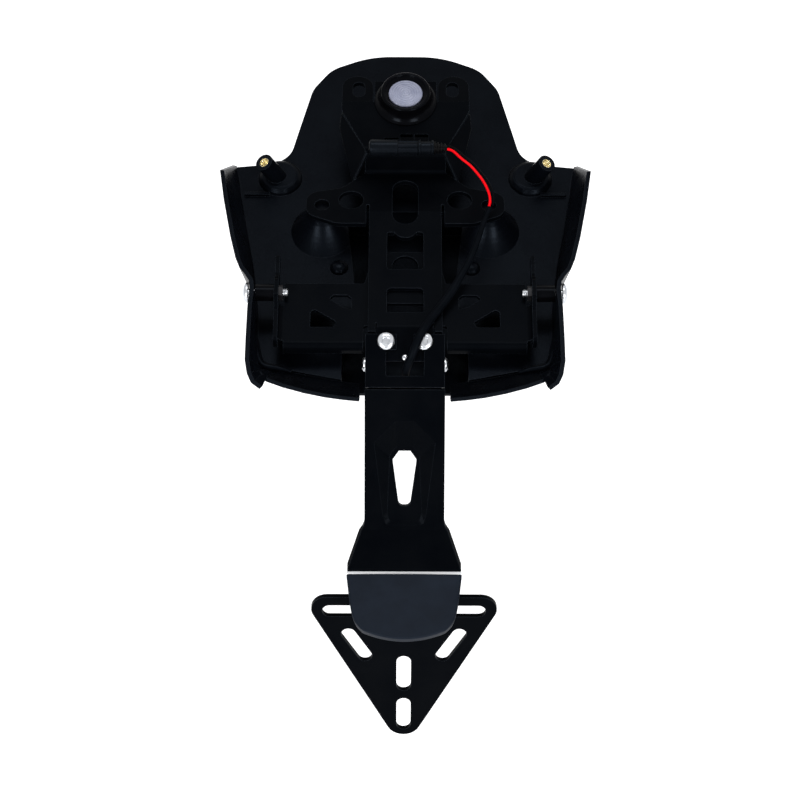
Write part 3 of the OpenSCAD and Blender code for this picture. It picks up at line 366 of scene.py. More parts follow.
# Silicone of the ribbed seal: soft and matt
SEAL_SILICONE = Finish("seal_silicone", "050506", "08080a", 0.4, specular=0.05, patch_mm=4, edge_mm=0.15)
# Extruded PVC insulation of the red core
RED_INSULATION = Finish("red_pvc_insulation", "e60010", "da000c", 0.45, 0.04, specular=0.12, patch_mm=6)
# Extruded PVC insulation of the black core
BLACK_INSULATION = Finish("black_pvc_insulation", "060608", "09090b", 0.36, 0.04, specular=0.012, patch_mm=6)
# Soft PVC sleeving over both cores
SLEEVE_PVC = Finish(
    "pvc_sleeving", "05070a", "080a0e", 0.36, specular=0.012, sheen="dcebff",
    relief=Relief.MOULD_GRAIN, grain_mm=0.9, depth_mm=0.02, patch_mm=8,
)


class Finishes:
    """Builds each finish once and hands out its material."""

    def __init__(self) -> None:
        """Start with no material built."""
        self._built: dict[str, bpy.types.Material] = {}

    def of(self, finish: Finish) -> bpy.types.Material:
        """Return the material of a finish, built on first use.

        Args:
            finish: the finish.

        Returns:
            Its material.
        """
        if finish.name not in self._built:
            self._built[finish.name] = finish.build()
        return self._built[finish.name]

    def dress(self, thing: Piece, finish: Finish) -> None:
        """Give an object one finish in all its slots.

        Args:
            thing: a CAD node's object or a new piece.
            finish: the finish it takes.
        """
        material = self.of(finish)
        if not thing.material_slots:
            thing.data.materials.append(material)
        for slot in thing.material_slots:
            slot.material = material


def face_frame(y: float, z: float, slope: float) -> Array:
    """Matrix of a face that slopes down to the rear.

    Args:
        y: Y of the face's starting point.
        z: Z of the face's starting point.
        slope: slope in degrees.

    Returns:
        A 4 by 4 matrix: X across, Y up the slope, Z outwards.
    """
    a = math.radians(slope)
    return np.array(
        [[1, 0, 0, 0], [0, math.cos(a), -math.sin(a), y], [0, math.sin(a), math.cos(a), z], [0, 0, 0, 1.0]]
    )


def axis_frame(point: Sequence[float], direction: Sequence[float]) -> Array:
    """Matrix whose Z axis runs along a direction from a point.

    Args:
        point: the origin's place.
        direction: where Z points, of any length.

    Returns:
        A 4 by 4 matrix whose X axis is level.
    """
    z = np.array(direction, float)
    z /= np.linalg.norm(z)
    side = np.cross([0.0, 0.0, 1.0], z)
    if np.linalg.norm(side) < TINY:
        side = np.array([1.0, 0.0, 0.0])
    x = side / np.linalg.norm(side)
    matrix = np.eye(4)
    matrix[:3, 0], matrix[:3, 1], matrix[:3, 2], matrix[:3, 3] = x, np.cross(z, x), z, point
    return matrix


def moved(points: Array, matrix: Array) -> Array:
    """Return points turned and shifted by a 4 by 4 placement."""
    return points @ matrix[:3, :3].T + matrix[:3, 3]


def grid_faces(rows: int, columns: int, wrap: bool) -> Array:
    """Quads between neighbouring points of a grid.

    Args:
        rows: points along the first parameter.
        columns: points along the second parameter.
        wrap: whether the second parameter closes on itself.

    Returns:
        An array of four indices a face, turned so that they point outwards.
    """
    across = columns if wrap else columns - 1
    i, j = np.meshgrid(np.arange(rows - 1), np.arange(across), indexing="ij")
    k = (j + 1) % columns
    return np.stack(
        [i * columns + j, i * columns + k, (i + 1) * columns + k, (i + 1) * columns + j], -1
    ).reshape(-1, 4)


def tube_faces(rows: int, columns: int) -> list[list[int]]:
    """Quads of a grid that closes round its rings, with a cap over its first and its last ring.

    Args:
        rows: number of rings.
        columns: points in a ring.

    Returns:
        Lists of vertex indices that point outwards.
    """
    first = list(range(columns))
    last = [(rows - 1) * columns + k for k in first]
    return grid_faces(rows, columns, True).tolist() + [first[::-1], last]


def new_object(name: str, data: bpy.types.ID) -> Piece:
    """Make an object and link it to the scene.

    Args:
        name: the object's name.
        data: its mesh, lamp or camera.

    Returns:
        The object.
    """
    thing = bpy.data.objects.new(name, data)
    bpy.context.scene.collection.objects.link(thing)
    return thing


def make_piece(name: str, points: Array, faces: Sequence, smooth_angle: float = 35.0) -> Piece:
    """Make one mesh object at the origin from points in millimetres.

    Args:
        name: the piece's name.
        points: vertices, n by 3.
        faces: lists of vertex indices.
        smooth_angle: edges sharper than this many degrees stay sharp.

    Returns:
        The object, linked to the scene.
    """
    mesh = bpy.data.meshes.new(name)
    mesh.from_pydata((points * MM).tolist(), [], [list(f) for f in faces])
    mesh.validate()
    mesh.update()
    mesh.polygons.foreach_set("use_smooth", np.ones(len(mesh.polygons), bool))
    mesh.set_sharp_from_angle(angle=math.radians(smooth_angle))
    return new_object(name, mesh)


def angles(count: int) -> Array:
    """Return so many angles, evenly spaced over a full turn."""
    return np.linspace(0, 2 * math.pi, count, endpoint=False)


def turned_grid(radii: Array, heights: Array, turns: int) -> Array:
    """Points of a turned shape: (r cos t, r sin t, z) on a grid of rows and angles.

    Args:
        radii: radius of each row, or of each row at each angle.
        heights: height of each row, as a column.
        turns: points around.

    Returns:
        Rows by turns by 3.
    """
    t = angles(turns)
    return np.stack(np.broadcast_arrays(radii * np.cos(t), radii * np.sin(t), heights), -1)


def turned_piece(name: str, profile: Array, matrix: Array, turns: int = 64) -> Piece:
    """Make a closed turned piece: the profile swept round the matrix's Z axis.

    Args:
        name: the piece's name.
        profile: radius and height, with its ends on the axis, or else a closed ring.
        matrix: its placement.
        turns: points around.

    Returns:
        The object.
    """
    grid = turned_grid(profile[:, :1], profile[:, 1:], turns)
    if profile[0, 0] > TINY:
        points = grid.reshape(-1, 3)
        faces = grid_faces(len(profile) + 1, turns, True) % len(points)
    else:
        points, faces = close_poles(grid)
    return make_piece(name, moved(points, matrix), faces)


def close_poles(grid: Array) -> tuple[Array, list[list[int]]]:
    """Close a turned grid whose end rings lie on its axis: each of the two becomes one point.

    Args:
        grid: rings by points around by 3.

    Returns:
        The points, and the faces with doubled corners left out.
    """
    rows, turns = grid.shape[:2]
    flat = grid.reshape(-1, 3)
    points = np.concatenate([flat[:1], flat[turns:-turns], flat[-1:]])
    index = np.clip(np.arange(rows * turns) - turns + 1, 0, len(points) - 1)
    faces = [list(dict.fromkeys(face)) for face in index[grid_faces(rows, turns, True)].tolist()]
    return points, [face for face in faces if len(face) > 2]


def run_along(line: Array) -> Array:
    """Return the distance along a line from its first point to each of its points."""
    return np.concatenate([[0], np.cumsum(np.linalg.norm(np.diff(line, axis=0), axis=1))])


def smooth_route(points: Array, step: float, samples: int = 12, fewest: int = 8) -> Array:
    """Spline through the points, resampled at an even step.

    Each span is the Catmull-Rom blend 0.5 (2b + (c-a)u + (2a-5b+4c-d)u^2 + (3b-a-3c+d)u^3).

    Args:
        points: route points.
        step: distance between the points that are returned.
        samples: samples in a span before they are spaced evenly.
        fewest: least number of points that are returned.

    Returns:
        Evenly spaced points on the curve.
    """
    p = np.vstack([2 * points[0] - points[1], points, 2 * points[-1] - points[-2]])
    u = np.linspace(0, 1, samples, endpoint=False)[None, :, None]
    a, b, c, d = (p[k : len(p) - 3 + k, None, :] for k in range(4))
    curve = 0.5 * (2 * b + (c - a) * u + (2 * a - 5 * b + 4 * c - d) * u**2 + (3 * b - a - 3 * c + d) * u**3)
    curve = np.vstack([curve.reshape(-1, 3), points[-1:]])
    run = run_along(curve)
    even = np.linspace(0, run[-1], max(fewest, int(run[-1] / step)))
    return np.stack([np.interp(even, run, curve[:, k]) for k in range(3)], 1)


def tube_piece(name: str, line: Array, radius: Array, sides: int = 16) -> Piece:
    """Make a round tube along a line: p(s) + r(s) (cos t n(s) + sin t b(s)), closed at both ends.

    Args:
        name: the piece's name.
        line: points of the centre line.
        radius: radius at each point.
        sides: points around.

    Returns:
        The object.
    """
    tangent = np.gradient(line, axis=0)
    tangent /= np.linalg.norm(tangent, axis=1, keepdims=True)
    # No line follows this direction, so the rings never flip
    view = np.array([0.0, -0.64, 0.77])
    side = np.cross(tangent, view)
    side /= np.linalg.norm(side, axis=1, keepdims=True)
    other = np.cross(tangent, side)
    t = angles(sides)[:, None]
    ring = side[:, None] * np.cos(t) + other[:, None] * np.sin(t)
    points = line[:, None] + radius[:, None, None] * ring
    return make_piece(name, points.reshape(-1, 3), tube_faces(len(line), sides), 60)


def shell_piece(name: str, top: Array, under: Array, matrix: Array) -> Piece:
    """Join two grids of points along their border into one closed piece.

    Args:
        name: the piece's name.
        top: outer grid, rows by columns by 3.
        under: inner grid of the same shape.
        matrix: its placement.

    Returns:
        The object.
    """
    rows, columns = top.shape[:2]
    count = rows * columns
    points = np.concatenate([top.reshape(-1, 3), under.reshape(-1, 3)])
    quads = grid_faces(rows, columns, False)
    index = np.arange(count).reshape(rows, columns)
    border = np.concatenate([index[0], index[1:, -1], index[-1, -2::-1], index[-2:0:-1, 0]])
    after = np.roll(border, -1)
    rim = np.stack([border, after, after + count, border + count], 1)
    faces = np.concatenate([quads[:, ::-1], quads + count, rim])
    return make_piece(name, moved(points, matrix), faces, 40)


@dataclass
class SubAssembly:
    """A group of new pieces that ride on the only body and take their materials from finishes."""

    finishes: Finishes

    def add(self, piece: Piece, finish: Finish, slot: str, *nodes: str) -> None:
        """Dress a piece, ride it on the body and hide the CAD nodes it stands for.

        Args:
            piece: the new piece.
            finish: the finish it takes.
            slot: the record's material slot, not used.
            nodes: CAD nodes that the piece replaces.
        """
        self.finishes.dress(piece, finish)
        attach(piece, ROOT)
        if nodes:
            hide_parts(*nodes)
        LOG.info("piece %s on %s", piece.name, ROOT)


@dataclass
class Bodywork(SubAssembly):
    """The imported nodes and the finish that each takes, also where a finer piece stands for one."""

    starts: tuple = (
        (MOULDED_TRAY, "undertray"), (MOULDED_HOOD, "hood"), (TURNED_BRASS, "insert"), (OPAL_LENS, "light"),
        (POWDER_COAT, ("main_bracket", "cross_bracket", "stem_bracket", "plate_bracket", "arm")),
        (SEAL_SILICONE, "connector_seal"), (CONNECTOR_NYLON, "connector"), (BEZEL_ELASTOMER, "side_spacer"),
        (BLACK_OXIDE, ("side_nut", "plate_bolt")),
    )

    def dress(self, frame: dict) -> None:
        """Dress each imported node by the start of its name; what isn't listed takes steel.

        Args:
            frame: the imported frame.
        """
        for name, thing in frame["nodes"].items():
            finish = next((finish for finish, starts in self.starts if name.startswith(starts)), ZINC_STEEL)
            self.finishes.dress(thing, finish)
            LOG.info("node %s takes %s", name, finish.name)


@dataclass
class TrayFillets(SubAssembly):
    """Inside fillets of the moulding where floor, side wall and rear lip meet.

    The route lies on the tray's floor, which starts below the origin and falls to the rear.
    """

    drop: float = 19.5
    tilt: float = 8.0
    radius: float = 2.4
    step: float = 1.0
    end_angle: float = 0.12
    route: tuple = (
        (87.2, -80, -0.6), (86.6, -88, 0.2), (85.6, -94.5, 0.3), (83.6, -99, 0.3), (80.4, -101, 0.3),
        (74, -102, 0.2), (66, -103.6, -0.6),
    )

    def build(self) -> None:
        """Build the fillet of both rear corners; its radius is radius sqrt(sin t), thin at both ends."""
        matrix = face_frame(0.0, -self.drop, self.tilt)
        for name, sign in SIDES:
            line = moved(smooth_route(np.array(self.route) * [sign, 1, 1], self.step), matrix)
            share = np.sin(np.linspace(self.end_angle, math.pi - self.end_angle, len(line))) ** 0.5
            piece = tube_piece("tray_fillet_" + name, line, self.radius * share)
            self.add(piece, MOULDED_TRAY, "tray_plastic")


@dataclass
class RoundLamp(SubAssembly):
    """Round lamp ahead of the connector: bell-shaped bezel and opal disc."""

    y: float = 67.414
    z: float = 22.163
    slope: float = 9.0
    foot_r: float = 19.0
    foot_h: float = 1.5
    flank_power: float = 2.4
    ring_r: float = 15.0
    lip_r: float = 1.3
    height: float = 10.0
    lens_r: float = 10.4
    optic_pitch: float = 1.6
    optic_h: float = 0.1
    turns: int = 96

    def build(self) -> None:
        """Build the bezel and the lens on the raised panel."""
        matrix = face_frame(self.y, self.z, self.slope)
        bezel = turned_piece("lamp_bezel", self._bezel_profile(), matrix, self.turns)
        self.add(bezel, BEZEL_ELASTOMER, "bezel_plastic", "lens_bezel")
        lens = turned_piece("lamp_lens", self._lens_profile(), matrix, self.turns)
        self.add(lens, OPAL_LENS, "lamp_lens", "lens")

    def _bezel_profile(self) -> Array:
        """Profile of the bezel: foot flange, hollow flank, rounded ring and inner cone.

        The flank is r = ring + (foot - ring) (1 - u)^2.4 and z = u height, less its margins.

        Returns:
            A closed ring of radii and heights.
        """
        u = np.linspace(0, 1, 14)
        flank_r = self.ring_r + 0.2 + (self.foot_r - 1.2 - self.ring_r) * (1 - u) ** self.flank_power
        flank = np.stack([flank_r, self.foot_h + u * (self.height - 2 * self.foot_h)], 1)
        t = np.linspace(0, math.pi, 9)
        lip = np.stack(
            [self.ring_r - 1.1 + self.lip_r * np.cos(t), self.height - 1.2 + self.lip_r * np.sin(t)], 1
        )
        inner = [[self.lens_r + 1.2, self.height - 1.9], [self.lens_r + 0.1, self.height - 2.6]]
        foot = [[self.lens_r + 0.1, 0.02], [self.foot_r - 0.3, 0.02], [self.foot_r, 0.35],
                [self.foot_r - 0.1, 0.9], [self.foot_r - 0.7, 1.3]]
        return np.vstack([foot, flank, lip, inner])

    def _lens_profile(self) -> Array:
        """Profile of the disc with shallow optic rings: z = top - (r/R)^2 + 0.1 cos(2 pi r / 1.6).

        Returns:
            Radii and heights, from the axis below to the axis above.
        """
        r = np.linspace(self.lens_r - 0.2, 0, 40)
        optic = self.optic_h * np.cos(2 * math.pi * r / self.optic_pitch)
        top = self.height - 1.2 - (r / self.lens_r) ** 2 + optic
        side = [[0, -1.9], [self.lens_r - 0.1, -1.9], [self.lens_r - 0.02, self.height - 2.6]]
        return np.vstack([side, np.stack([r, top], 1)])


@dataclass
class Lead(SubAssembly):
    """Two cores out of the seal, then one sleeve through the stem bracket to the plate light."""

    core_d: float = 1.6
    sleeve_d: float = 4.8
    sleeve_top_d: float = 2.8
    taper_mm: float = 62.0
    step: float = 1.2
    red: tuple = (
        (25.3, 27.2, 20.3), (26.6, 26.6, 20.5), (29, 24.7, 20.6), (33.6, 19.7, 19.6), (38.9, 15.3, 18),
        (42.9, 10.7, 16.2), (46.4, 6.1, 14.2), (48.9, 1.5, 12), (50.2, -2, 9.8), (50.4, -5, 8),
        (49.8, -7.6, 6.6),
    )
    black: tuple = (
        (25.3, 29.2, 20.5), (27, 28.7, 20.8), (29.9, 26.4, 20.8), (35, 21.3, 19.8), (40.5, 16.6, 18.2),
        (44.7, 11.7, 16.4), (48.3, 6.9, 14.4), (50.9, 2.3, 12.2), (52.4, -1.6, 10), (52.5, -4.8, 8.2),
        (51.8, -7.4, 6.8),
    )
    sleeve: tuple = (
        (50.4, -8.4, 6.3), (49.4, -10.6, 5.9), (48, -14.2, 5.2), (46.4, -18.9, 4.6), (45, -23.8, 4),
        (43.4, -29.3, 3.4), (41.7, -35.3, 2.6), (39.5, -41.7, 1.6), (36.9, -48, 0.2), (33.8, -54.2, -1),
        (31, -59.4, -2.6), (28.2, -64.2, -4.4), (25.3, -68.6, -6.1), (22.2, -73, -7.4), (19, -77.6, -8.3),
        (16, -82.1, -8.9), (13.2, -87, -9.1), (10.6, -92, -9), (8.6, -96, -10.1), (6.8, -99.6, -12),
        (5.2, -102.6, -14.6), (3.8, -104.8, -17.8), (2.5, -106, -21), (1.4, -106.6, -24.6),
        (0.6, -106.8, -28.6), (0.5, -106.8, -33), (1.4, -106.9, -38), (3.6, -108, -42.6),
        (6.6, -110, -47.2), (9.8, -112.8, -52), (12, -116, -57), (13, -120, -63), (13.4, -126.9, -74.2),
        (13.4, -136.3, -91.9), (13, -145.7, -109), (12, -151.4, -117.6), (9.4, -158.4, -124.6),
        (5.8, -165.6, -129.6), (2.6, -171.4, -132.8), (0.6, -174.4, -134.6), (0, -177.4, -133.8),
    )

    def build(self) -> None:
        """Build the cores and the sleeve as free cords on the CAD route."""
        core = (self.core_d, self.core_d)
        sleeve = (self.sleeve_top_d, self.sleeve_d)
        self._cord("core_red", self.red, core, RED_INSULATION, "wire_red_plastic", "wire_red")
        self._cord("core_black", self.black, core, BLACK_INSULATION, "wire_black_plastic", "wire_black")
        self._cord("lead_sleeve", self.sleeve, sleeve, SLEEVE_PVC, "sleeve_plastic", "cable_sleeve")

    def _cord(self, name: str, route: tuple, ends: tuple, finish: Finish, slot: str, node: str) -> None:
        """Build one cord along its route.

        Args:
            name: the piece's name.
            route: route points.
            ends: diameter at its start and past its taper.
            finish: its finish.
            slot: the record's slot.
            node: the CAD node that it replaces.
        """
        start, width = ends
        line = smooth_route(np.array(route, float), self.step)
        run = run_along(line)
        piece = tube_piece(name, line, np.interp(run, [0, self.taper_mm], [start / 2, width / 2]))
        self.add(piece, finish, slot, node)


@dataclass(frozen=True)
class ScrewSize:
    """Sizes of one button-head screw in millimetres; the socket's is across its flats."""

    shank_d: float
    length: float
    head_d: float
    head_h: float
    socket: float
    pitch: float = 0.9


@dataclass
class ButtonScrew:
    """One button-head screw with a hexagon socket and a helical thread, on its own Z axis."""

    size: ScrewSize
    thread_h: float = 0.3
    margin: float = 0.6
    turns: int = 48

    def build(self, name: str, matrix: Array) -> Piece:
        """Build the screw.

        Args:
            name: the piece's name.
            matrix: placement of the head's underside, Z out of the head.

        Returns:
            The object.
        """
        points, faces = close_poles(self._grid())
        return make_piece(name, moved(points, matrix), faces, 32)

    def _grid(self) -> Array:
        """Rows from tip to socket: round ones r(z), then hexagons a / cos(((t + 30) mod 60) - 30).

        The shank's rows also dip by 0.3 (0.5 - 0.5 cos(2 pi z / pitch - t)), a helical thread.

        Returns:
            Rows by turns by 3 points.
        """
        size = self.size
        t = angles(self.turns)
        sixth = math.pi / 3
        hexagon = size.socket / 2 / np.cos((t + sixth / 2) % sixth - sixth / 2)
        shank, rim = size.shank_d / 2, size.head_d / 2
        z = np.arange(-size.length + self.margin, -self.margin, size.pitch / 6)
        thread = shank - self.thread_h * (0.5 - 0.5 * np.cos(2 * math.pi * z[:, None] / size.pitch - t))
        a = np.radians(np.arange(0, 76, 7.5))
        dome = np.stack([rim * np.cos(a), size.head_h * (0.25 + 0.75 * np.sin(a))], 1)
        dome = dome[dome[:, 0] > size.socket * 0.68]
        tip = np.array([[0.0, -size.length], [shank - self.margin, -size.length]])
        under = np.array([[shank, -0.3], [shank, -0.02], [rim - 0.12, 0.0], [rim, 0.12]])
        flat = dome[-1, 1] + 0.06
        mouth = [flat, flat - 0.12, size.head_h * 0.38, size.head_h * 0.35]
        around = np.ones(self.turns)
        radii = np.vstack(
            [tip[:, :1] * around, thread, under[:, :1] * around, dome[:, :1] * around,
             hexagon + 0.12, hexagon, hexagon * 0.98, 0 * around]
        )
        heights = np.concatenate([tip[:, 1], z, under[:, 1], dome[:, 1], mouth])[:, None]
        return turned_grid(radii, heights, self.turns)


@dataclass
class Screws(SubAssembly):
    """All bright screws: two in the stem, one in the tail tab, two pivots and two through the side walls."""

    stem_y: float = -91.2
    stem_z: float = -13.653
    stem_slope: float = 35.0
    stem_x: float = 11.0
    stem_s: float = 4.6
    stem_size: ScrewSize = ScrewSize(6.0, 11.0, 10.5, 3.3, 4.0)
    pivot_s: float = 17.0
    pivot_z: float = -9.5
    stem_half_w: float = 22.9
    pivot_size: ScrewSize = ScrewSize(5.0, 9.5, 8.4, 2.6, 3.0)
    side_y: float = -64.5
    side_z: float = -8.2
    wall_outer_x: float = 91.6
    side_size: ScrewSize = ScrewSize(5.0, 23.2, 12.0, 3.2, 4.0)
    tab_s: float = 13.8
    tab_z: float = -2.0
    tab_size: ScrewSize = ScrewSize(2.5, 4.0, 3.6, 1.2, 1.3, 0.45)

    def build(self) -> None:
        """Build each screw on its own axis."""
        face = face_frame(self.stem_y, self.stem_z, self.stem_slope)
        out = face[:3, 2]
        for name, sign in SIDES:
            side = (sign, 0.0, 0.0)
            head = moved(np.array([sign * self.stem_x, -self.stem_s, 0.0]), face)
            self._screw("stem_bolt_" + name, self.stem_size, head, out)
            pivot = moved(np.array([sign * self.stem_half_w, -self.pivot_s, self.pivot_z]), face)
            self._screw("pivot_bolt_" + name, self.pivot_size, pivot, side)
            wall = (sign * self.wall_outer_x, self.side_y, self.side_z)
            self._screw("side_bolt_" + name, self.side_size, wall, side)
        middle = moved(np.array([0.0, -self.tab_s, self.tab_z]), face)
        self._screw("centre_screw", self.tab_size, middle, out)

    def _screw(self, node: str, size: ScrewSize, head: Sequence[float], axis: Sequence[float]) -> None:
        """Build one screw in place of its CAD node.

        Args:
            node: the CAD node.
            size: the screw's sizes.
            head: middle of the head's underside.
            axis: direction out of the head.
        """
        piece = ButtonScrew(size).build(node + "_turned", axis_frame(head, axis))
        self.add(piece, ZINC_STEEL, "screw_steel", node)


@dataclass
class PlateLight(SubAssembly):
    """Ribbed light strip and the crowned hood over the plate bracket."""

    flare_y: float = -181.855
    flare_z: float = -121.932
    plate_slope: float = 76.0
    hood_slope: float = 12.0
    half_w: float = 34.0
    strip_h: float = 5.0
    strip_t: float = 3.0
    strip_power: float = 0.35
    flute_pitch: float = 2.4
    flute_h: float = 0.096
    hood_t: float = 3.0
    length: float = 40.9
    side_run: float = 35.1
    side_taper: float = 0.11
    side_curve: float = 0.0006
    corner_in: float = 5.4
    corner_cut: float = 5.8
    crown: float = 1.5
    sag: float = 0.7
    edge_r: float = 1.3
    lip: float = 2.4
    lip_w: float = 1.4

    def build(self) -> None:
        """Build the strip, the hood's skin and the hood's root wall."""
        matrix = face_frame(self.flare_y, self.flare_z, self.plate_slope)
        self.add(self._strip(matrix), CLEAR_STRIP, "lamp_lens", "light_strip")
        self.add(self._skin(), MOULDED_HOOD, "hood_plastic", "hood")
        self.add(self._root(matrix), MOULDED_HOOD, "hood_plastic")

    def _strip(self, matrix: Array) -> Piece:
        """Rounded bar along X whose outer face dips by 0.096 |sin(pi x / 2.4)| in flutes.

        Its section is y = h/2 sgn(cos t) |cos t|^0.35 and z = t/2 sgn(sin t) |sin t|^0.35 about its middle.

        Args:
            matrix: placement at the end of the arm's flare.

        Returns:
            The strip.
        """
        t = angles(32) + math.pi / 4
        half_y, half_z = self.strip_h / 2, self.strip_t / 2
        y = half_y * np.sign(np.cos(t)) * np.abs(np.cos(t)) ** self.strip_power
        z = half_z * np.sign(np.sin(t)) * np.abs(np.sin(t)) ** self.strip_power
        x = np.linspace(-self.half_w, self.half_w, 171)[:, None]
        flute = self.flute_h * np.abs(np.sin(math.pi * x / self.flute_pitch)) * (z > half_z * 0.96)
        inset = np.ones_like(x)
        inset[[0, -1]] = 0.9
        y, z = y * inset - half_y, z * inset + half_z - flute
        points = np.stack([x + 0 * y, y, z], -1).reshape(-1, 3)
        return make_piece("plate_light_strip", moved(points, matrix), tube_faces(len(x), len(t)), 40)

    def _skin(self) -> Piece:
        """Crowned skin: x = u w(v), y = -v (L - c u^2), z = crown (1 - u^2) (0.4 + 0.6 v) - sag sin(pi v).

        A round edge is taken off z. The underside lies a wall lower, with a lip along its free edges.

        Returns:
            The skin as one closed piece.
        """
        u = np.sin(np.linspace(-1, 1, 61) * math.pi / 2)[None, :]
        v = np.sin(np.linspace(0, 1, 41) * math.pi / 2)[:, None]
        s = self.side_run * v
        width = self.half_w - self.side_taper * s - self.side_curve * s**2 - self.corner_in * v**7
        depth = self.length - self.corner_cut * u**2
        x, y = u * width, -v * depth
        edge = np.minimum((1 - np.abs(u)) * width, (1 - v) * depth)
        inside = np.clip(self.edge_r - edge, 0, self.edge_r)
        drop = self.edge_r - np.sqrt(self.edge_r**2 - inside**2)
        z = self.crown * (1 - u**2) * (0.4 + 0.6 * v) - self.sag * np.sin(math.pi * v) - drop
        near = np.clip(1 - (edge - self.lip_w), 0, 1)
        lip = self.lip * near**2 * (3 - 2 * near) * np.clip((v - 0.12) * 8, 0, 1)
        tilt = math.radians(self.plate_slope - self.hood_slope)
        front = np.clip(1 - v * 12, 0, 1) * self.hood_t / math.tan(tilt) * 0.6
        shrink = 1 - 0.25 / self.half_w
        top = np.stack([x, y, z], -1)
        under = np.stack([x * shrink, y * shrink - front, z + drop * 0.6 - self.hood_t - lip], -1)
        a = math.radians(self.plate_slope)
        start_y = self.flare_y - self.strip_t * math.sin(a)
        start_z = self.flare_z + self.strip_t * math.cos(a)
        return shell_piece("hood_skin", top, under, face_frame(start_y, start_z, self.hood_slope))

    def _root(self, matrix: Array) -> Piece:
        """Root wall between the arm's flange and the plate bracket: its side profile carried across.

        Args:
            matrix: placement at the end of the arm's flare.

        Returns:
            The wall.
        """
        profile = np.array(
            [[-5.0, 0.02], [-5.0, 3.3], [-3.4, 3.3], [-4.8, 7.6], [-7.6, 7.6], [-8.0, 7.2], [-8.0, 3.0],
             [-34.6, 3.0], [-35.0, 2.6], [-35.0, 0.4], [-34.6, 0.02]]
        )
        x = np.array([-25.0, -24.6, -12.0, 0.0, 12.0, 24.6, 25.0])[:, None]
        y, z = (column + 0 * x for column in profile.T)
        points = np.stack([x + 0 * y, y, z], -1).reshape(-1, 3)
        faces = [face[::-1] for face in tube_faces(len(x), len(profile))]
        return make_piece("hood_root_wall", moved(points, matrix), faces, 30)


@dataclass
class Connector(SubAssembly):
    """Round two-way connector that lies across the panel's rear edge."""

    y: float = 28.2
    z: float = 20.2
    body_r: float = 5.1
    plug_r: float = 4.8
    socket_x: float = -22.0
    latch_x: float = -4.6
    plug_x: float = 7.6
    seal_x: float = 17.0
    key_h: float = 0.13
    seal_rings: int = 4
    seal_pitch: float = 2.0
    turns: int = 96

    def build(self) -> None:
        """Build the socket with its keyed neck, the plug and the ribbed seal."""
        self.add(self._socket(), CONNECTOR_NYLON, "connector_plastic", "connector_socket")
        self.add(self._plug(), CONNECTOR_NYLON, "connector_plastic", "connector_plug")
        self.add(self._seal(), SEAL_SILICONE, "seal_rubber", "connector_seal")

    def _frame(self, x: float) -> Array:
        """Return the placement on the connector's axis from a place along X."""
        return axis_frame((x, self.y, self.z), (1.0, 0.0, 0.0))

    def _socket(self) -> Piece:
        """Long smooth shell with a rounded end, then a neck whose radius is r (1 + 0.13 k(t)).

        The six keys are k(t) = 1 / (1 + exp(-14 cos 6t)).

        Returns:
            The socket.
        """
        r, neck_r = self.body_r, self.plug_r - 0.8
        long = self.latch_x - self.socket_x
        end = self.plug_x - self.socket_x
        a = np.radians(np.linspace(0, 90, 7))
        nose = np.stack([r - 1.6 + 1.6 * np.sin(a), 1.6 - 1.6 * np.cos(a)], 1)
        rest = [[r, long - 0.3], [r - 0.3, long], [neck_r, long + 0.02], [neck_r, end - 0.3],
                [neck_r - 0.3, end], [0, end]]
        profile = np.vstack([[[0, 0]], nose, rest])
        grid = turned_grid(profile[:, :1], profile[:, 1:], self.turns)
        key = 1 / (1 + np.exp(-14 * np.cos(6 * angles(self.turns))))
        neck = (profile[:, 1] > long) & (profile[:, 0] > neck_r - 0.2)
        grid[neck, :, :2] *= (1 + self.key_h * key)[None, :, None]
        points, faces = close_poles(grid)
        return make_piece("connector_socket_shell", moved(points, self._frame(self.socket_x)), faces, 30)

    def _plug(self) -> Piece:
        """Turned plug: a collar, a waist and a rear shoulder.

        Returns:
            The plug.
        """
        c, p = self.body_r, self.plug_r
        end = self.seal_x - self.plug_x
        profile = [[0, 0], [c - 0.3, 0], [c, 0.3], [c, 1.3], [c - 0.3, 1.6], [p - 0.6, 1.8],
                   [p - 0.6, end - 2.1], [p - 0.3, end - 1.7], [p, end - 1.5], [p, end - 0.3],
                   [p - 0.3, end], [0, end]]
        return turned_piece("connector_plug_shell", np.array(profile), self._frame(self.plug_x))

    def _seal(self) -> Piece:
        """Turned seal: rings whose radius falls towards the cores.

        Returns:
            The seal.
        """
        profile = [[0, 0]]
        for k in range(self.seal_rings):
            out, root, at = self.plug_r - 0.9 - 0.35 * k, self.plug_r - 2.1 - 0.3 * k, self.seal_pitch * k
            profile += [[out - 0.2, at], [out, at + 0.25], [out, at + 0.75], [out - 0.2, at + 1.0],
                        [root, at + 1.2], [root, at + 1.9]]
        profile += [[0, self.seal_rings * self.seal_pitch + 0.2]]
        return turned_piece("connector_wire_seal", np.array(profile), self._frame(self.seal_x))


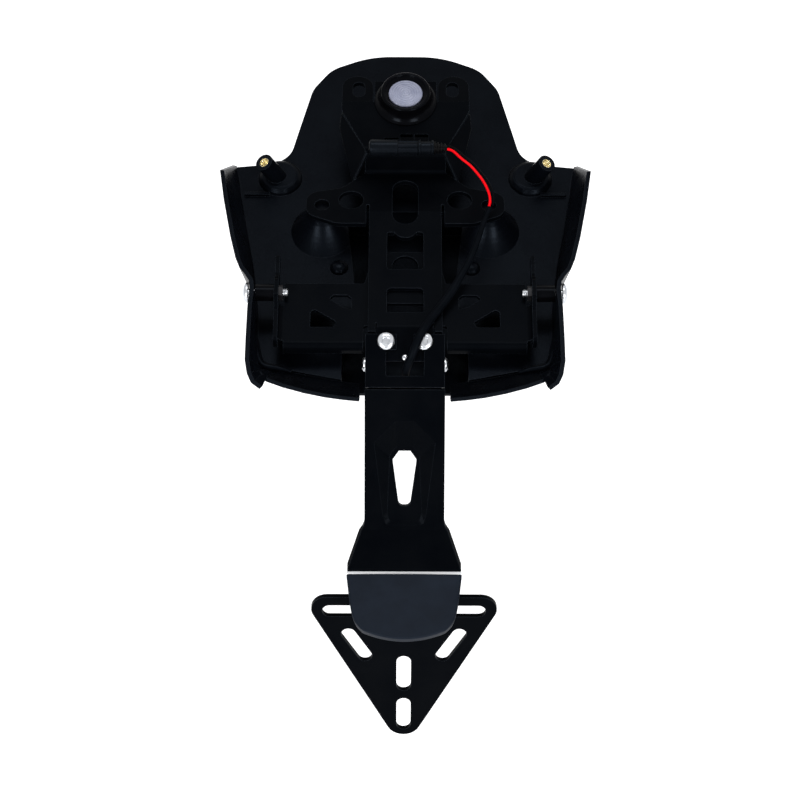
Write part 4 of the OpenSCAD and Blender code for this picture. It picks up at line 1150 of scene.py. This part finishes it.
@dataclass
class Inserts(SubAssembly):
    """Brass threaded inserts in the two tilted tube bosses, each under a moulded collar."""

    foot: tuple = (77.0, 36.5, -15.0)
    direction: tuple = (9.6, -4.3, 20.0)
    tube_l: float = 21.5
    outer_r: float = 3.8
    bore_r: float = 2.5
    length: float = 10.0
    collar_r: float = 2.95
    collar_h: float = 0.94
    lead_in: float = 0.9
    depth: float = 4.2
    pitch: float = 0.8
    thread_h: float = 0.22
    turns: int = 48

    def build(self) -> None:
        """Build the insert and the collar of both bosses."""
        for name, sign in SIDES:
            mirror = np.array([sign, 1, 1])
            d = np.array(self.direction) * mirror
            d /= np.linalg.norm(d)
            matrix = axis_frame(np.array(self.foot) * mirror + (self.tube_l - self.length) * d, d)
            self.add(self._insert("thread_insert_" + name, matrix), TURNED_BRASS, "brass", "insert_" + name)
            collar = turned_piece("tube_collar_" + name, self._collar_profile(), matrix, self.turns)
            self.add(collar, MOULDED_TRAY, "tray_plastic")

    def _collar_profile(self) -> Array:
        """Profile of the thin collar that covers the insert's rim.

        Returns:
            A closed ring of radii and heights.
        """
        rim, below = self.outer_r + 0.04, self.length - self.collar_h
        return np.array(
            [[self.collar_r, below], [rim, below], [rim, self.length + 0.02],
             [self.collar_r + 0.2, self.length + 0.05], [self.collar_r, self.length - 0.1]]
        )

    def _insert(self, name: str, matrix: Array) -> Piece:
        """Blind sleeve with a wide lead-in; its bore is r = bore + 0.22 (0.5 - 0.5 cos(2 pi z / pitch - t)).

        Args:
            name: the piece's name.
            matrix: placement of the sleeve's lower end, Z out of the boss.

        Returns:
            The insert.
        """
        t = angles(self.turns)
        z = np.arange(self.length - self.lead_in, self.length - self.depth, -self.pitch / 6)
        wave = np.cos(2 * math.pi * z[:, None] / self.pitch - t)
        bore = self.bore_r + self.thread_h * (0.5 - 0.5 * wave)
        wall, mouth = self.outer_r - 0.05, self.collar_r - 0.02
        outer = np.array(
            [[0.0, 0.0], [wall, 0.0], [wall, self.length - 1.0], [mouth, self.length - 0.95],
             [mouth, self.length - 0.25], [mouth - 0.2, self.length - 0.2]]
        )
        around = np.ones(self.turns)
        radii = np.vstack([outer[:, :1] * around, bore, self.bore_r * around, 0 * around])
        floor = self.length - self.depth - 0.1
        heights = np.concatenate([outer[:, 1], z, [floor, floor]])[:, None]
        points, faces = close_poles(turned_grid(radii, heights, self.turns))
        return make_piece(name, moved(points, matrix), faces, 40)


@dataclass
class Studio:
    """Camera, lamps, floor and world.

    The camera looks down by the photograph's angle. The paper glows only for the rays that see it.
    """

    elevation: float = 50.0
    distance_mm: float = 1250.0
    target_mm: tuple = (-2.8, -89.627, -75.206)
    view_degrees: float = 21.74
    roll: float = 0.2
    floor_mm: float = -253.0
    floor_half_mm: float = 6000.0
    lamp_aim_mm: tuple = (0.0, -60.0, -60.0)
    paper: str = "ebebec"
    paper_glow: float = 0.72
    fill: float = 0.3

    def build(self) -> None:
        """Build all of the studio."""
        self._camera()
        self._lamps()
        self._floor()
        self._world()
        bpy.context.scene.view_settings.view_transform = "Standard"

    def _camera(self) -> None:
        """Place the camera at the photograph's viewing angle."""
        data = bpy.data.cameras.new("photo_camera")
        data.sensor_fit = "HORIZONTAL"
        data.angle = math.radians(self.view_degrees)
        data.clip_start = 0.05
        data.clip_end = 20.0
        camera = new_object("photo_camera", data)
        a = math.radians(self.elevation)
        back = np.array([0.0, -math.cos(a), math.sin(a)])
        camera.location = (np.array(self.target_mm) + self.distance_mm * back) * MM
        camera.rotation_mode = "ZYX"
        camera.rotation_euler = (math.radians(90 - self.elevation), 0.0, math.radians(self.roll))
        bpy.context.scene.camera = camera

    def _lamp(self, name: str, place: Sequence[float], size: Sequence[float], watts: float) -> None:
        """Add one rectangular soft box that faces the object's middle.

        Args:
            name: the lamp's name.
            place: its place in metres.
            size: its width and height in metres.
            watts: its power.
        """
        data = bpy.data.lights.new(name, "AREA")
        data.shape = "RECTANGLE"
        data.size, data.size_y = size
        data.energy = watts
        lamp = new_object(name, data)
        lamp.location = place
        away = np.array(place, float) - np.array(self.lamp_aim_mm) * MM
        away /= np.linalg.norm(away)
        lamp.rotation_euler = (math.acos(away[2]), 0.0, math.atan2(away[0], -away[1]))

    def _lamps(self) -> None:
        """Soft box overhead and towards the front, and a smaller, lower one on each side of the camera."""
        self._lamp("overhead_box", (0.0, 0.36, 1.95), (1.4, 0.6), 17.0)
        self._lamp("left_box", (-0.72, -1.3, 0.5), (0.5, 0.6), 16.0)
        self._lamp("right_box", (0.72, -1.3, 0.5), (0.5, 0.6), 16.0)

    def _floor(self) -> None:
        """Lay a pale floor under the plate bracket that keeps the object's shadow."""
        half, z = self.floor_half_mm * MM, self.floor_mm * MM
        mesh = bpy.data.meshes.new("studio_floor")
        corners = [(-half, -half, z), (half, -half, z), (half, half, z), (-half, half, z)]
        mesh.from_pydata(corners, [], [(0, 1, 2, 3)])
        floor = new_object("studio_floor", mesh)
        material = bpy.data.materials.new("pale_paper")
        material.use_nodes = True
        tree = material.node_tree
        tree.nodes.clear()
        seen = seen_rays(tree)
        paper = add_node(tree, "BsdfDiffuse", {"Color": linear_rgb(self.paper)}).outputs[0]
        glow = add_node(tree, "Emission", {"Color": WHITE, "Strength": self.paper_glow}).outputs[0]
        both = add_node(tree, "AddShader", links={0: paper, 1: glow}).outputs[0]
        pick = add_node(tree, "MixShader", links={"Fac": seen, 1: paper, 2: both}).outputs[0]
        add_node(tree, "OutputMaterial", links={"Surface": pick})
        mesh.materials.append(material)

    def _world(self) -> None:
        """White for the rays that see it, a plain grey for the light that it gives."""
        world = bpy.data.worlds.new("studio_world")
        bpy.context.scene.world = world
        world.use_nodes = True
        tree = world.node_tree
        tree.nodes.clear()
        seen = seen_rays(tree)
        fill = add_node(tree, "Background", {"Color": WHITE, "Strength": self.fill}).outputs[0]
        white = add_node(tree, "Background", {"Color": WHITE, "Strength": 1.0}).outputs[0]
        pick = add_node(tree, "MixShader", links={"Fac": seen, 1: fill, 2: white}).outputs[0]
        add_node(tree, "OutputWorld", links={"Surface": pick})


def main() -> None:
    """Build every sub-assembly in order."""
    logging.basicConfig(level=logging.INFO, format="%(message)s")
    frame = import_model()
    Studio().build()
    finishes = Finishes()
    Lead(finishes).build()
    Bodywork(finishes).dress(frame)
    TrayFillets(finishes).build()
    RoundLamp(finishes).build()
    Connector(finishes).build()
    Inserts(finishes).build()
    Screws(finishes).build()
    PlateLight(finishes).build()


if __name__ == "__main__":
    main()
